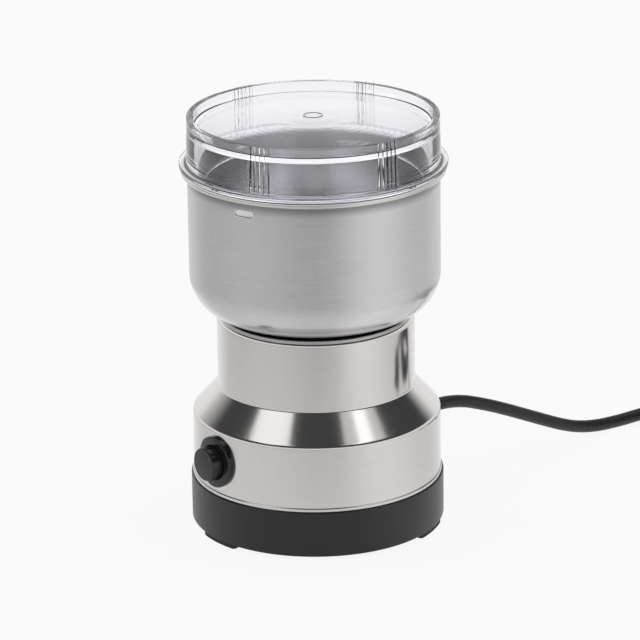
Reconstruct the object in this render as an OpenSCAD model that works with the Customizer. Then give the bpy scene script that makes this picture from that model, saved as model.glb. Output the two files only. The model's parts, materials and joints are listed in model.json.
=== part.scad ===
// Electric spice grinder: clear lid, drawn steel bowl on a waisted steel shell,
// black base, push button at the front and mains cord at the back.
// The axis of the bowl is Z, the feet stand on Z = 0 and the button faces -Y.

/* [Feet and base] */
// Height of the rubber feet below the base
foot_h = 1.6; // [1:0.1:5]
// Number of feet round the base
foot_count = 3; // [3:1:5]
// Angle that one foot spans
foot_span = 24; // [12:1:36]
// Place of the first foot round the base, from the button
foot_turn = -5; // [-20:1:20]
// Width of a foot, measured out from the axis
foot_w = 6.4; // [4:0.2:8]
// Flat rim of the base left outside the feet
foot_rim = 0.5; // [0.3:0.1:1.5]
// Depth of the pocket that holds a foot
foot_pocket = 0.8; // [0.4:0.1:1.2]
// Outside diameter of the base
base_d = 100.6; // [99.6:0.2:110]
// Height of the base's outer wall
base_h = 18.4; // [16:0.1:24]
// Wall and floor thickness of the base
base_wall = 2.4; // [1.8:0.1:3]
// Rounding of the base's lower edge
base_edge = 0.6; // [0.6:0.2:2.4]
// Height of the lip that stands up inside the skirt
lip_h = 4.6; // [3:0.2:6]
// Thickness of that lip
lip_t = 1.8; // [1.2:0.1:2.6]
// Number of cooling slots in the floor
vent_count = 12; // [6:1:16]
// Width of a cooling slot
vent_w = 2.4; // [1.6:0.2:3]
// Diameter of a base screw's shank
screw_d = 3; // [2.5:0.1:3.5]
// Diameter of a base screw's head
screw_head_d = 6; // [5:0.2:7]
// Height of a base screw's head
screw_head_h = 2.2; // [1.6:0.1:3]
// Wall of the tower round a base screw's head
tower_wall = 1.5; // [1:0.1:2]

/* [Steel shell] */
// Sheet thickness of the shell
shell_t = 0.8; // [0.5:0.1:1.2]
// Outside diameter of the skirt
skirt_d = 98.4; // [97:0.2:99]
// Height of the skirt
skirt_h = 26.5; // [25:0.1:32]
// Height of the sloping shoulder
shoulder_h = 10.9; // [9:0.1:14]
// Outside diameter of the neck
neck_d = 78.2; // [77:0.2:82]
// Height of the neck
neck_h = 28.9; // [27.6:0.1:34]
// Rounding of the shoulder's lower edge and of the neck's top edge
shell_edge = 2.5; // [1.5:0.1:3.5]
// Rounding where the neck meets the shoulder
waist_r = 1.2; // [0.6:0.1:2]
// How far the rolled hem stands out from the skirt
hem_out = 0.5; // [0.2:0.1:0.8]
// Height of the rolled hem
hem_h = 1.5; // [1:0.1:2.2]

/* [Bowl] */
// Sheet thickness of the bowl
bowl_t = 0.8; // [0.5:0.1:1.2]
// Height of the bowl from its underside to the top of its rim
bowl_h = 59.7; // [54:0.1:70]
// Radius of the bowl's lower corner
bowl_corner = 16.5; // [12:0.5:18]
// How far the rolled rim stands out from the bowl's wall
rim_out = 2.5; // [2.2:0.1:3]
// Height of the rolled rim
rim_h = 2.2; // [1.6:0.1:3]
// Thickness of the gasket under the bowl
gasket_h = 0.6; // [0.4:0.1:1.5]
// Outside diameter of that gasket
gasket_d = 64; // [50:1:65]
// Angle that one lid lug spans
lug_span = 11; // [5:0.5:14]
// Height of a lid lug
lug_h = 2.6; // [2:0.1:3.2]
// How far a lid lug stands into the bowl
lug_in = 1.1; // [0.6:0.1:1.3]
// Depth of a lid lug below the rim
lug_drop = 7.4; // [6.5:0.1:8.2]
// Place of the first lug round the bowl, from the button
lug_turn = 16; // [0:1:40]

/* [Lid] */
// Height of the lid above the rim
lid_h = 20; // [18:0.1:30]
// Outside diameter of the lid's flange, the widest place of the grinder
flange_d = 105; // [104:0.2:108]
// Thickness of the flange
flange_h = 1.8; // [1.2:0.1:2.4]
// How far the flange stands out over the bowl's rim
flange_over = 0.6; // [0.3:0.1:1]
// Width of the flange outside the lid's wall
flange_w = 2.8; // [2.2:0.1:3.4]
// How much the wall's radius draws in towards the top
lid_draft = 0.5; // [0.2:0.1:1]
// Wall thickness of the lid
lid_wall = 2.4; // [1.8:0.1:3]
// Thickness of the top plate
plate_t = 2.3; // [1.6:0.1:3]
// Depth of the top plate below the crest
plate_drop = 4; // [2:0.1:5]
// Rounding of the crest's outer edge
crest_r = 1.6; // [0.8:0.1:2]
// Depth of the spigot inside the bowl
spigot_h = 10.6; // [10:0.1:12]
// Wall thickness of the spigot
spigot_t = 2; // [1.6:0.1:2.6]
// Radial clearance of the spigot in the bowl
spigot_gap = 0.4; // [0.3:0.05:0.6]
// Clearance round a lug in its slot
slot_gap = 0.6; // [0.4:0.1:1]
// Turn that locks the lid on its lugs
lock_turn = 14; // [8:1:20]
// Ribs in one grip group
rib_count = 5; // [3:1:7]
// Angle from rib to rib in a group
rib_pitch = 2.2; // [1.8:0.1:3]
// Width of a rib
rib_w = 0.8; // [0.5:0.1:1.2]
// How far a rib stands out from the wall
rib_out = 0.4; // [0.2:0.1:0.6]
// Diameter of the shallow dish in the plate
dish_d = 24; // [14:1:30]
// Depth of that dish
dish_depth = 0.5; // [0.2:0.1:0.8]
// Diameter of the moulding mark at the centre
mark_d = 9; // [6:0.5:12]

/* [Blade and shaft] */
// Diameter of the motor shaft
shaft_d = 8; // [7:0.2:9]
// Diameter of the shaft's lower journal and of its threaded top
journal_d = 6; // [5:0.2:6.4]
// Tip to tip length of the blade
blade_len = 66; // [50:1:72]
// Width of the blade
blade_w = 13; // [11:0.5:16]
// Thickness of the blade
blade_t = 1.5; // [1:0.1:2]
// Upward bend of one wing
wing_up = 14; // [5:1:18]
// Downward bend of the other wing
wing_down = 5; // [2:1:6]
// Height of the driver under the blade
driver_h = 5; // [4:0.2:7]
// Diameter of the driver
driver_d = 17; // [14.6:0.2:19]
// Width across the flats of the blade's cap nut
cap_nut_af = 10; // [9:0.5:12]
// Height of the cap nut
cap_nut_h = 6.5; // [5.5:0.1:8]

/* [Bowl bush] */
// Outside diameter of the bush's threaded body
bush_d = 14; // [13:0.2:16]
// Diameter of the bush's flange inside the bowl
bush_flange_d = 22; // [20:0.5:26]
// Thickness of that flange
bush_flange_h = 2.5; // [2.2:0.1:3.5]
// Length of the bush below the bowl's floor
bush_len = 11; // [10.5:0.1:12]
// Depth of the shaft seal in the flange
seal_h = 1.8; // [1.2:0.1:2]
// Width across the flats of the bush's nut
bush_nut_af = 20; // [18.5:0.5:24]
// Height of the bush's nut
bush_nut_h = 4; // [3:0.1:4.4]

/* [Motor] */
// Thickness of the frame's top disc
frame_t = 3.2; // [2.6:0.1:3.6]
// Diameter of the frame's top disc
frame_d = 73; // [72:0.5:74]
// Radius at which the frame's posts stand
post_radius = 33.2; // [33:0.1:33.4]
// Diameter of a frame post
post_d = 6.4; // [6:0.1:6.6]
// Height of the post's end above the base's floor
post_gap = 7; // [5.5:0.5:10]
// Height of the stator's underside above the floor that the part stands on
stator_z = 42; // [41:0.5:43]
// Height of the stator's stack
stator_h = 20; // [18:0.5:20.5]
// Width of the stator across its poles
stator_w = 50; // [48:0.5:51]
// Width of the stator along its yoke
stator_l = 54; // [52:0.5:55]
// Diameter that rounds the stator's corners
stator_round = 59.4; // [58:0.2:59.4]
// Diameter of the winding space in the stator
window_d = 45; // [43:0.5:46]
// Width of a pole's neck
pole_w = 18; // [14:0.5:20]
// Thickness of a pole shoe
shoe_t = 2.2; // [1.8:0.1:2.8]
// Angle that a pole shoe spans
shoe_span = 120; // [100:2:130]
// Diameter of the armature
armature_d = 30; // [27:0.5:31]
// Air gap between armature and pole
air_gap = 0.6; // [0.4:0.1:0.8]
// Slots in the armature
slot_count = 12; // [8:1:16]
// Width of an armature slot
slot_w = 2.2; // [1.6:0.1:2.6]
// Depth of an armature slot
slot_depth = 6; // [4:0.5:7]
// Height of the windings past the stack
winding_h = 4; // [3:0.1:4.2]
// How far the armature's winding stays inside its rim
winding_inset = 1.5; // [1:0.1:2.5]
// Diameter of the commutator
commutator_d = 19; // [17:0.5:20]
// Height of the commutator
commutator_h = 9; // [8.6:0.1:9.2]
// Segments of the commutator
segment_count = 24; // [12:2:24]
// Width of the slits between the segments
slit_w = 0.4; // [0.2:0.1:0.6]
// Depth of those slits
slit_depth = 1; // [0.6:0.1:1.4]
// Diameter of the cooling fan
fan_d = 42; // [36:0.5:43]
// Height of the cooling fan
fan_h = 7; // [5:0.1:7.4]
// Vanes of the cooling fan
vane_count = 11; // [6:1:13]
// Thickness of the fan's disc and vanes
fan_t = 1.2; // [0.8:0.1:1.6]
// Thickness of the fan's hub round the shaft
fan_hub = 3; // [2:0.1:4]
// Radius at which the stator's bolts stand
bolt_radius = 26; // [25.6:0.1:26.2]
// Diameter of a stator bolt
bolt_d = 3.6; // [3:0.1:4]
// Length of a stator bolt in its boss
bolt_grip = 8; // [6:0.5:12]
// Diameter of a stator boss
boss_d = 7; // [6.6:0.1:7.2]
// Thickness of the lower bracket
bracket_t = 3; // [2.4:0.1:3.4]
// Width of the bracket's arms
bracket_w = 9; // [8:0.5:11]
// Length of the lower bearing
bearing_l = 8; // [6:0.2:9]
// Outside diameter of the lower bearing
bearing_d = 12; // [10.5:0.5:13]
// Width and height of a carbon brush
brush_w = 5; // [4:0.2:6]
// Wall of a brush holder
holder_wall = 1; // [0.8:0.1:1.4]
// Length of a brush holder
holder_l = 17; // [15:0.5:17.5]
// Angle of a pole shoe left bare by its coil
field_margin = 8; // [6:1:12]

/* [Button] */
// Height of the button above the floor
panel_z = 35.2; // [33:0.1:35.3]
// Diameter of the round bezel
bezel_d = 20.5; // [20:0.1:22]
// How far the bezel stands out from the skirt
bezel_out = 3.4; // [2.4:0.1:4.5]
// Rounding of the bezel's rim
bezel_edge = 1.2; // [0.6:0.1:1.6]
// Diameter of the bezel's threaded neck
bezel_neck_d = 15.8; // [15.4:0.1:16.4]
// Diameter of the button cap
cap_d = 13; // [12:0.1:13.2]
// How far the cap stands out from the bezel
cap_out = 5; // [4:0.1:7]
// Rounding of the cap's front edge
cap_edge = 0.8; // [0.4:0.1:1.4]
// Travel of the button
button_travel = 3; // [2:0.1:3.4]
// Width across the flats of the bezel nut
bezel_nut_af = 19; // [18:0.5:21]
// Thickness of the bezel nut
bezel_nut_h = 3; // [2:0.1:3.4]
// Width of the switch body
switch_w = 15; // [14:0.5:18]
// Length of the switch body
switch_l = 12.4; // [12:0.1:13]
// Diameter of the plunger
plunger_d = 4.6; // [4:0.1:5]
// Diameter of the return spring
spring_d = 6.4; // [6:0.1:6.8]
// Wire of the return spring
spring_wire = 0.6; // [0.4:0.1:0.7]
// Turns of the return spring
spring_turns = 4; // [3:1:5]

/* [Cord] */
// Diameter of the mains cord
cord_d = 5.2; // [4.8:0.1:5.4]
// Height of the cord's exit above the floor
exit_z = 32.4; // [31.4:0.1:34]
// How far the strain relief stands out from the skirt
relief_out = 9.4; // [8:0.1:10]
// Length of the strain relief inside the skirt
relief_in = 11; // [9:0.5:12]
// Diameter of the strain relief at the skirt
relief_d = 11; // [9:0.2:12]
// Depth of the groove that holds the skirt's sheet
relief_groove = 1; // [0.6:0.1:1.2]
// Wall of the strain relief where the cord leaves it
relief_wall = 1.1; // [0.8:0.1:1.4]
// Radius of the coil's outer turn
coil_r = 34; // [33:0.5:36]
// Turns in one layer of the coil
coil_turns = 2.125; // [2.125:1:3.125]
// Step from turn to turn and from layer to layer
coil_pitch = 5.8; // [5.8:0.1:6.2]
// Thickness of the tie round the coil
tie_t = 1; // [0.6:0.1:1.4]
// Width of the tie
tie_w = 9; // [6:0.5:12]
// Slack of the tie round the turns
tie_gap = 0.3; // [0.2:0.1:0.6]
// Length of the plug's body
plug_l = 34; // [30:1:40]
// Width of the plug's body
plug_w = 26; // [25:0.5:30]
// Thickness of the plug's body
plug_t = 13; // [11:0.5:15]
// Diameter of a plug pin
pin_d = 4; // [3.8:0.1:4.8]
// Length of a plug pin
pin_l = 19; // [17:0.5:20]
// Distance between the plug pins
pin_pitch = 18.6; // [17.5:0.1:19]

/* [Hidden] */
$fn = 96;

// Clearances: a running fit, a fixed fit, a close fit of moulded parts, a loose hole
run_gap = 0.05;
fixed_gap = 0.02;
close_gap = 0.15;
hole_gap = 0.3;

// Small edges of moulded and turned parts
edge_r = 0.4;
soft_r = 0.6;

// Heights above the floor, from the feet up to the crest of the lid
z_base = foot_h;
z_floor = z_base + base_wall;
z_skirt = z_base + base_h;
z_shoulder = z_skirt + skirt_h;
z_neck = z_shoulder + shoulder_h;
z_top = z_neck + neck_h;
z_bowl = z_top + gasket_h;
z_bowl_in = z_bowl + bowl_t;
z_rim = z_bowl + bowl_h;
z_lid = z_rim + lid_h;
z_plate = z_lid - plate_drop;
z_lug = z_rim - lug_drop;
z_frame = z_top - shell_t - frame_t;
z_post = z_floor + post_gap;
z_driver = z_bowl_in + bush_flange_h + hole_gap;
z_blade = z_driver + driver_h;
z_stack = stator_z + stator_h;
z_winding = stator_z - winding_h;
z_commutator = z_winding - hole_gap - commutator_h;
z_bracket = z_commutator - hole_gap - bracket_t;
z_bearing = z_bracket + bracket_t - bearing_l;
z_fan = z_stack + winding_h + hole_gap;

// Radii
base_r = base_d / 2;
skirt_r = skirt_d / 2;
skirt_in = skirt_r - shell_t;
neck_r = neck_d / 2;
flange_r = flange_d / 2;
rim_r = flange_r - flange_over;
bowl_r = rim_r - rim_out;
bowl_in = bowl_r - bowl_t;
lug_slope = lug_h / 5;
lid_r = flange_r - flange_w;
lid_top_r = lid_r - lid_draft;
spigot_r = bowl_in - spigot_gap;
lip_r = skirt_in - close_gap;
shaft_r = shaft_d / 2;
journal_r = journal_d / 2;
bush_r = bush_d / 2;
cord_r = cord_d / 2;
bore_r = armature_d / 2 + air_gap;
shoe_r = bore_r + shoe_t;
window_r = window_d / 2;
foot_r = base_r - base_edge - foot_rim - foot_w / 2;
mast_r = bearing_d / 2 + base_wall;

// Places along the button's axis, measured out from the bowl's axis
y_bezel = skirt_r + bezel_out;
y_cap = y_bezel + cap_out;
y_nut = sqrt(pow(skirt_in, 2) - pow(bezel_nut_af / sqrt(3), 2)) - close_gap;
y_switch = y_nut - bezel_nut_h - hole_gap;
y_switch_end = y_switch - switch_l;
switch_wall = 1.6;
y_chamber = y_switch - switch_wall;
y_chamber_end = y_switch_end + switch_wall;
collar_t = 1.5;
collar_r = spring_d / 2 + edge_r;
chamber_r = collar_r + hole_gap;

// Lid grip groups: two pairs on opposite sides, from the button
rib_places = [24, 84, 204, 264];

// Frame posts stand between the feet, stator bolts on one diagonal
post_angles = [0, 120, 240];
bolt_angles = [45, 225];

// Brushes lie on the bracket's arms along Y
brush_z = z_bracket + bracket_t + holder_wall + fixed_gap + brush_w / 2;
holder_w = brush_w + 2 * holder_wall + 2 * fixed_gap;
holder_in = commutator_d / 2 + 2;

// The cord leaves straight, droops to the floor and runs on to the coil
coil_start = [2, 214];
coil_z = cord_r + tie_t + tie_gap;
relief_end = skirt_r + relief_out;
relief_start = skirt_in - relief_in;
relief_flange = 1.8;
relief_seat = skirt_in - sqrt(pow(skirt_in, 2) - pow(relief_d / 2, 2)) + fixed_gap;
lead_points = [[0, relief_end, exit_z], [0, 65, exit_z], [0, 74, 30.9], [0, 81, 28.6],
    [0, 88, 25.9], [0, 96, 22.5], [0, 107, 17.5], [0, 119, 12], [0, 128, 8.1], [0, 136, 5.4], [0, 145, 3.6],
    [0, 155, 2.8], [0, 168, 2.7], [0.6, 182, 3.2], [1.4, 194, 3.8], [2, 202, coil_z],
    [2, coil_start.y - cord_d, coil_z]];
coil_centre = coil_start + [coil_r, 0];
coil_rings = 24;
coil_sides = 6;
coil_end_z = coil_z + coil_pitch;
tie_turn = 2 / 3;

// The tail comes off the coil's far side and turns back to the plug beside it
tail_start = coil_centre + [cord_d, coil_r];
plug_z = plug_t / 2;
tail_points = [for (step = [[0, 0, coil_end_z], [5, 0, coil_end_z], [10, -0.2, 8.8], [15, -0.8, 7.2],
        [20, -2, 5.4], [25, -3.8, 3.9], [30, -6.4, 3], [35, -9.8, 2.7], [39.4, -14, 2.8], [43, -18.8, 3.3],
        [46, -24, 4.1], [48, -29.4, 5.1], [48.8, -34.6, 6], [49, -40, plug_z], [49, -45, plug_z]])
    [tail_start.x + step.x, tail_start.y + step.y, step.z]];
plug_at = tail_points[len(tail_points) - 1];

// Wires inside the skirt: supply to switch, supply to brush, switch to brush
wire_r = 1.1;
wire_side = 1.5;
tab_t = 0.8;
tab_w = 4.8;
tab_l = 5;
tab_x = switch_w / 2 - 1.2;
wire_tab_x = tab_x + tab_t / 2 + wire_r + run_gap;
wire_from = relief_start - hole_gap;
holder_end = holder_in + holder_l;
supply_points = [[-wire_side, wire_from, exit_z], [-wire_side, wire_from - 1.4, exit_z],
    [-4, 34.6, 32], [-10, 36.6, 31], [-20, 35.4, 29], [-30, 28.6, 27.5], [-37.6, 18, 27], [-41, 6, 27],
    [-41, -6, 27], [-37.6, -18, 27.5], [-31, -28, 29], [-23, -34, 31.4], [-15.5, -35, 34],
    [-wire_tab_x - 1.6, 2 - y_switch_end, panel_z], [-wire_tab_x, tab_l - 1 - y_switch_end, panel_z],
    [-wire_tab_x, tab_l - y_switch_end, panel_z]];
brush_points = [[wire_side, wire_from, exit_z], [wire_side, wire_from - 2, exit_z],
    [wire_side, holder_end + 2, brush_z], [wire_side, holder_end + hole_gap, brush_z]];
switch_points = [[wire_tab_x, 1 - y_switch_end, panel_z], [wire_tab_x, 3 - y_switch_end, panel_z],
    [wire_tab_x + 0.6, tab_l + 2 - y_switch_end, panel_z], [wire_tab_x, -19.4, brush_z],
    [holder_w / 2 + 1.6, -17, brush_z], [holder_w / 2 + hole_gap, -17, brush_z]];

// Points of a fillet of radius r in place of the corner b of a path
function corner(a, b, c, r, steps) =
    let (u = (a - b) / norm(a - b), w = (c - b) / norm(c - b), half = acos(u * w) / 2,
        centre = b + (u + w) / norm(u + w) * r / sin(half),
        s = b + u * r / tan(half) - centre, e = b + w * r / tan(half) - centre,
        from = atan2(s.y, s.x), raw = atan2(e.y, e.x) - from,
        sweep = raw > 180 ? raw - 360 : raw < -180 ? raw + 360 : raw)
    [for (i = [0:steps]) centre + r * [cos(from + sweep * i / steps), sin(from + sweep * i / steps)]];

// A path whose corners are filleted where their radius isn't 0
function rounded(path, radii, steps = 8) = [for (i = [0:len(path) - 1])
    each (radii[i] == 0 ? [path[i]]
        : corner(path[i - 1], path[i], path[i + 1], radii[i], steps))];

// The same path moved sideways to its left by d
function beside(path, d) = [for (i = [0:len(path) - 1])
    let (before = path[max(i, 1)] - path[max(i, 1) - 1],
        after = path[min(i + 1, len(path) - 1)] - path[min(i, len(path) - 2)],
        n = [-before.y, before.x] / norm(before), m = n + [-after.y, after.x] / norm(after))
    path[i] + m * d / (m * n)];

// Cross-section of a drawn sheet that follows a path
module sheet(path, t) {
    inner = beside(path, t);
    polygon(concat(path, [for (i = [len(inner) - 1:-1:0]) inner[i]]));
}

// One closed tube along points, as a single solid with rings of equal sides
module sweep(points, r, sides) {
    n = len(points);
    ways = [for (i = [0:n - 1]) let (d = points[min(i + 1, n - 1)] - points[max(i - 1, 0)]) d / norm(d)];
    rings = [for (i = [0:n - 1])
        let (flat = [ways[i].y, -ways[i].x, 0], u = flat / norm(flat), v = cross(u, ways[i]))
        each [for (k = [0:sides - 1])
            points[i] + r * (u * cos((k + 0.5) * 360 / sides) + v * sin((k + 0.5) * 360 / sides))]];
    sidewalls = [for (i = [0:n - 2]) for (k = [0:sides - 1])
        let (a = i * sides + k, b = i * sides + (k + 1) % sides)
        each [[a, a + sides, b], [b, a + sides, b + sides]]];
    ends = [for (k = [1:sides - 2])
        each [[0, k, k + 1], [(n - 1) * sides, (n - 1) * sides + k + 1, (n - 1) * sides + k]]];
    polyhedron(rings, concat(sidewalls, ends));
}

// Points on a smooth curve through a list of points
function smooth(p, steps) = concat([for (i = [0:len(p) - 2]) for (s = [0:steps - 1])
    let (a = p[max(i - 1, 0)], b = p[i], c = p[i + 1], d = p[min(i + 2, len(p) - 1)], t = s / steps)
    b + 0.5 * t * (c - a + t * (2 * a - 5 * b + 4 * c - d + t * (3 * (b - c) + d - a)))], [p[len(p) - 1]]);

// Least clear distance of a wound tube to its own other turns
function least_gap(p, d, turn) = min([for (i = [0:len(p) - 1]) for (j = [i + turn:1:len(p) - 1])
    norm(p[i] - p[j])]) - d;

// Height of the coil's layers: one climb, in the half turn where the spiral reverses
function coil_height(turns) = let (t = min(max((turns - coil_turns + 0.25) / 0.5, 0), 1))
    coil_z + coil_pitch * t * t * (3 - 2 * t);
function coil_radius(turns) =
    coil_r - coil_pitch * (turns < coil_turns ? turns : 2 * coil_turns - turns);
function coil_angle(turns) = 180 - 360 * turns;
function coil_point(turns) = let (r = coil_radius(turns), a = coil_angle(turns))
    [coil_centre.x + r * cos(a), coil_centre.y + r * sin(a), coil_height(turns)];
coil_path = concat([[coil_start.x, coil_start.y - cord_d, coil_z]],
    [for (i = [0:2 * coil_turns * coil_rings]) coil_point(i / coil_rings)],
    [[tail_start.x, tail_start.y, coil_end_z]]);

// Return spring: a helix along the button's axis behind the plunger's collar
spring_rings = 8;
y_collar = y_chamber - hole_gap - collar_t;
spring_from = y_collar - spring_wire / 2 - run_gap;
spring_to = y_chamber_end + spring_wire / 2 + run_gap;
function spring_point(t) = let (r = (spring_d - spring_wire) / 2, a = 360 * t * spring_turns)
    [r * cos(a), -(spring_from + (spring_to - spring_from) * t), panel_z + r * sin(a)];
spring_path = [for (i = [0:spring_turns * spring_rings]) spring_point(i / (spring_turns * spring_rings))];

echo(coil_gap_mm = least_gap(coil_path, cord_d, coil_rings / 2),
    spring_gap_mm = least_gap(spring_path, spring_wire, spring_rings / 2));

module ring(outer, inner, z, h) {
    translate([0, 0, z]) linear_extrude(h) difference() {
        circle(outer);
        circle(inner);
    }
}

module about(angles) for (a = angles) rotate(a) children();

// Round things on the button's and cord's axis, from the axis outwards along -Y or +Y
module facing_front() translate([0, 0, panel_z]) rotate([90, 0, 0]) children();
module facing_back() translate([0, 0, exit_z]) rotate([-90, 0, 0]) children();

// A pressed oblong on both sides of the bowl, as a tapered block bent round the axis
module lug(from, to, h, span) {
    for (side = [0, 180]) rotate(side - 90 + lug_turn - span / 2)
        rotate_extrude(angle = span) translate([0, z_lug])
            polygon([[from, -h / 2], [to, -h / 2 + lug_slope], [to, h / 2 - lug_slope], [from, h / 2]]);
}

module lid_section() {
    inner_r = spigot_r - spigot_t;
    flange_edge = flange_h * 0.45;
    polygon(rounded(
        [[0, z_plate - plate_t], [lid_top_r - lid_wall, z_plate - plate_t], [inner_r, z_rim],
            [inner_r, z_rim - spigot_h], [spigot_r, z_rim - spigot_h], [spigot_r, z_rim],
            [flange_r, z_rim], [flange_r, z_rim + flange_h], [lid_r, z_rim + flange_h],
            [lid_top_r, z_lid], [lid_top_r - lid_wall, z_lid], [lid_top_r - lid_wall - edge_r, z_plate],
            [dish_d / 2, z_plate], [mark_d / 2, z_plate - dish_depth], [0, z_plate - dish_depth]],
        [0, 2 * soft_r, 0, edge_r, edge_r, 0, flange_edge, flange_edge, edge_r, crest_r, soft_r, soft_r,
            0, 0, 0], 6));
}

// An upright slot from the spigot's edge to the lug, and the level slot that locks it
module bayonet_slots() {
    half = lug_h / 2 + slot_gap;
    wide = lug_span + 2 * (lug_h / 2 + slot_gap) / bowl_r * 180 / PI;
    for (side = [0, 180]) rotate(side - 90 + lug_turn) {
        rotate(-wide / 2) rotate_extrude(angle = wide)
            translate([spigot_r - 2 * spigot_t, z_rim - 2 * spigot_h])
                square([3 * spigot_t, z_lug + half - z_rim + 2 * spigot_h]);
        rotate(-wide / 2) rotate_extrude(angle = wide + lock_turn)
            translate([spigot_r - 2 * spigot_t, z_lug - half]) square([3 * spigot_t, 2 * half]);
    }
}

// Fine upright ribs that follow the wall's draft
module grip_ribs() {
    z_from = z_rim + flange_h / 2;
    z_to = z_lid - crest_r;
    thin = rib_w / lid_r * 180 / PI;
    for (place = rib_places) for (i = [0:rib_count - 1])
        rotate(place - 90 + (i - (rib_count - 1) / 2) * rib_pitch - thin / 2) rotate_extrude(angle = thin)
            polygon([[lid_r - lid_wall / 2, z_from], [lid_r + rib_out, z_from],
                [lid_top_r + rib_out, z_to - rib_out], [lid_top_r - lid_wall / 2, z_to]]);
}

module lid_cover() color([0.86, 0.86, 0.94, 0.4]) {
    difference() {
        union() {
            rotate_extrude() lid_section();
            grip_ribs();
        }
        bayonet_slots();
    }
}

module bowl() color([0.72, 0.72, 0.72]) {
    difference() {
        union() {
            rotate_extrude() {
                sheet(rounded([[bush_r + fixed_gap, z_bowl], [bowl_r, z_bowl], [bowl_r, z_rim]],
                    [0, bowl_corner, 0], 20), bowl_t);
                polygon(rounded([[bowl_in, z_rim - rim_h], [rim_r, z_rim - rim_h], [rim_r, z_rim],
                    [bowl_in, z_rim]], [0, rim_h * 0.42, rim_h * 0.42, 0], 6));
            }
            lug(bowl_r - bowl_t / 2, bowl_in - lug_in, lug_h, lug_span);
        }
        lug(bowl_r + bowl_t, bowl_r - lug_in, lug_h - bowl_t, lug_span - 2 * bowl_t / bowl_r * 180 / PI);
    }
}

module bowl_gasket() color([0.08, 0.08, 0.08]) ring(gasket_d / 2, bush_r + fixed_gap, z_top, gasket_h);

module bowl_bush() color([0.72, 0.58, 0.36]) difference() {
    union() {
        translate([0, 0, z_bowl_in - bush_len]) cylinder(r = bush_r, h = bush_len);
        translate([0, 0, z_bowl_in]) cylinder(d = bush_flange_d, h = bush_flange_h);
    }
    translate([0, 0, z_bowl_in - 2 * bush_len]) cylinder(r = shaft_r + run_gap, h = 4 * bush_len);
    translate([0, 0, z_bowl_in + bush_flange_h - seal_h]) cylinder(r = bush_r, h = 2 * seal_h);
}

module bush_nut() color([0.7, 0.7, 0.7]) difference() {
    translate([0, 0, z_frame - bush_nut_h])
        cylinder(d = bush_nut_af / cos(30), h = bush_nut_h, $fn = 6);
    translate([0, 0, z_frame - 2 * bush_nut_h]) cylinder(r = bush_r + fixed_gap, h = 3 * bush_nut_h);
}

module shaft_seal() color([0.15, 0.15, 0.15])
    ring(bush_r - fixed_gap, shaft_r + run_gap, z_bowl_in + bush_flange_h - seal_h, seal_h);

// One wing of the blade: tapered, with a ground leading edge, bent along its root
module wing(bend) {
    root = driver_d / 2 + fixed_gap;
    reach = blade_len / 2 - root;
    translate([root, 0, 0]) rotate([0, -bend, 0]) difference() {
        linear_extrude(blade_t) polygon(rounded([[-blade_t, -blade_w / 2], [reach, -blade_w / 4],
            [reach, blade_w * 0.42], [-blade_t, blade_w / 2]], [0, blade_w / 6, blade_w / 5, 0], 6));
        translate([0, -blade_w / 4 - blade_t * 0.4, blade_t / 2]) rotate([32, 0, 4])
            translate([-2 * blade_t, -blade_w, 0]) cube([2 * reach, blade_w, blade_w]);
    }
}

module blade() color([0.75, 0.75, 0.76]) difference() {
    translate([0, 0, z_blade]) {
        linear_extrude(blade_t) circle(d = driver_d);
        wing(wing_up);
        rotate(180) wing(-wing_down);
    }
    translate([0, 0, z_blade - driver_h]) cylinder(r = journal_r + fixed_gap, h = 3 * driver_h);
    translate([0, 0, z_blade - driver_h]) cylinder(d = driver_d + 2 * fixed_gap, h = driver_h);
}

module blade_driver() color([0.1, 0.1, 0.1]) difference() {
    translate([0, 0, z_driver]) rotate_extrude() polygon(rounded([[0, 0], [driver_d / 2, 0],
        [driver_d / 2, driver_h], [0, driver_h]], [0, soft_r, soft_r, 0]));
    translate([0, 0, z_driver - driver_h]) cylinder(r = shaft_r + fixed_gap, h = 3 * driver_h);
}

// A hexagon with a domed top, closed above the shaft's end
module blade_nut() color([0.75, 0.75, 0.76]) {
    dome_r = cap_nut_af / 2;
    hex_h = cap_nut_h - dome_r * 0.6;
    translate([0, 0, z_blade + blade_t]) difference() {
        union() {
            cylinder(d = cap_nut_af / cos(30), h = hex_h, $fn = 6);
            translate([0, 0, hex_h]) intersection() {
                translate([0, 0, -dome_r * 0.4]) sphere(dome_r);
                cylinder(r = dome_r, h = dome_r);
            }
        }
        translate([0, 0, -1]) cylinder(r = journal_r + fixed_gap, h = hex_h + 1 - hole_gap);
    }
}

module motor_shaft() color([0.6, 0.6, 0.62]) {
    thread_top = z_blade + blade_t + cap_nut_h - cap_nut_af / 2 * 0.6 - 2 * hole_gap;
    translate([0, 0, z_bearing]) cylinder(r = journal_r, h = bearing_l + hole_gap);
    translate([0, 0, z_commutator]) cylinder(r = shaft_r, h = z_blade - z_commutator);
    translate([0, 0, z_blade]) cylinder(r = journal_r, h = thread_top - z_blade);
}

module slots_2d(w, depth) about([for (i = [0:slot_count - 1]) i * 360 / slot_count])
    translate([armature_d / 2 - depth, -w / 2]) square([2 * depth, w]);

module armature_core() color([0.42, 0.42, 0.44]) translate([0, 0, stator_z]) linear_extrude(stator_h)
    difference() {
        circle(d = armature_d);
        circle(shaft_r + fixed_gap);
        slots_2d(slot_w, slot_depth);
    }

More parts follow.
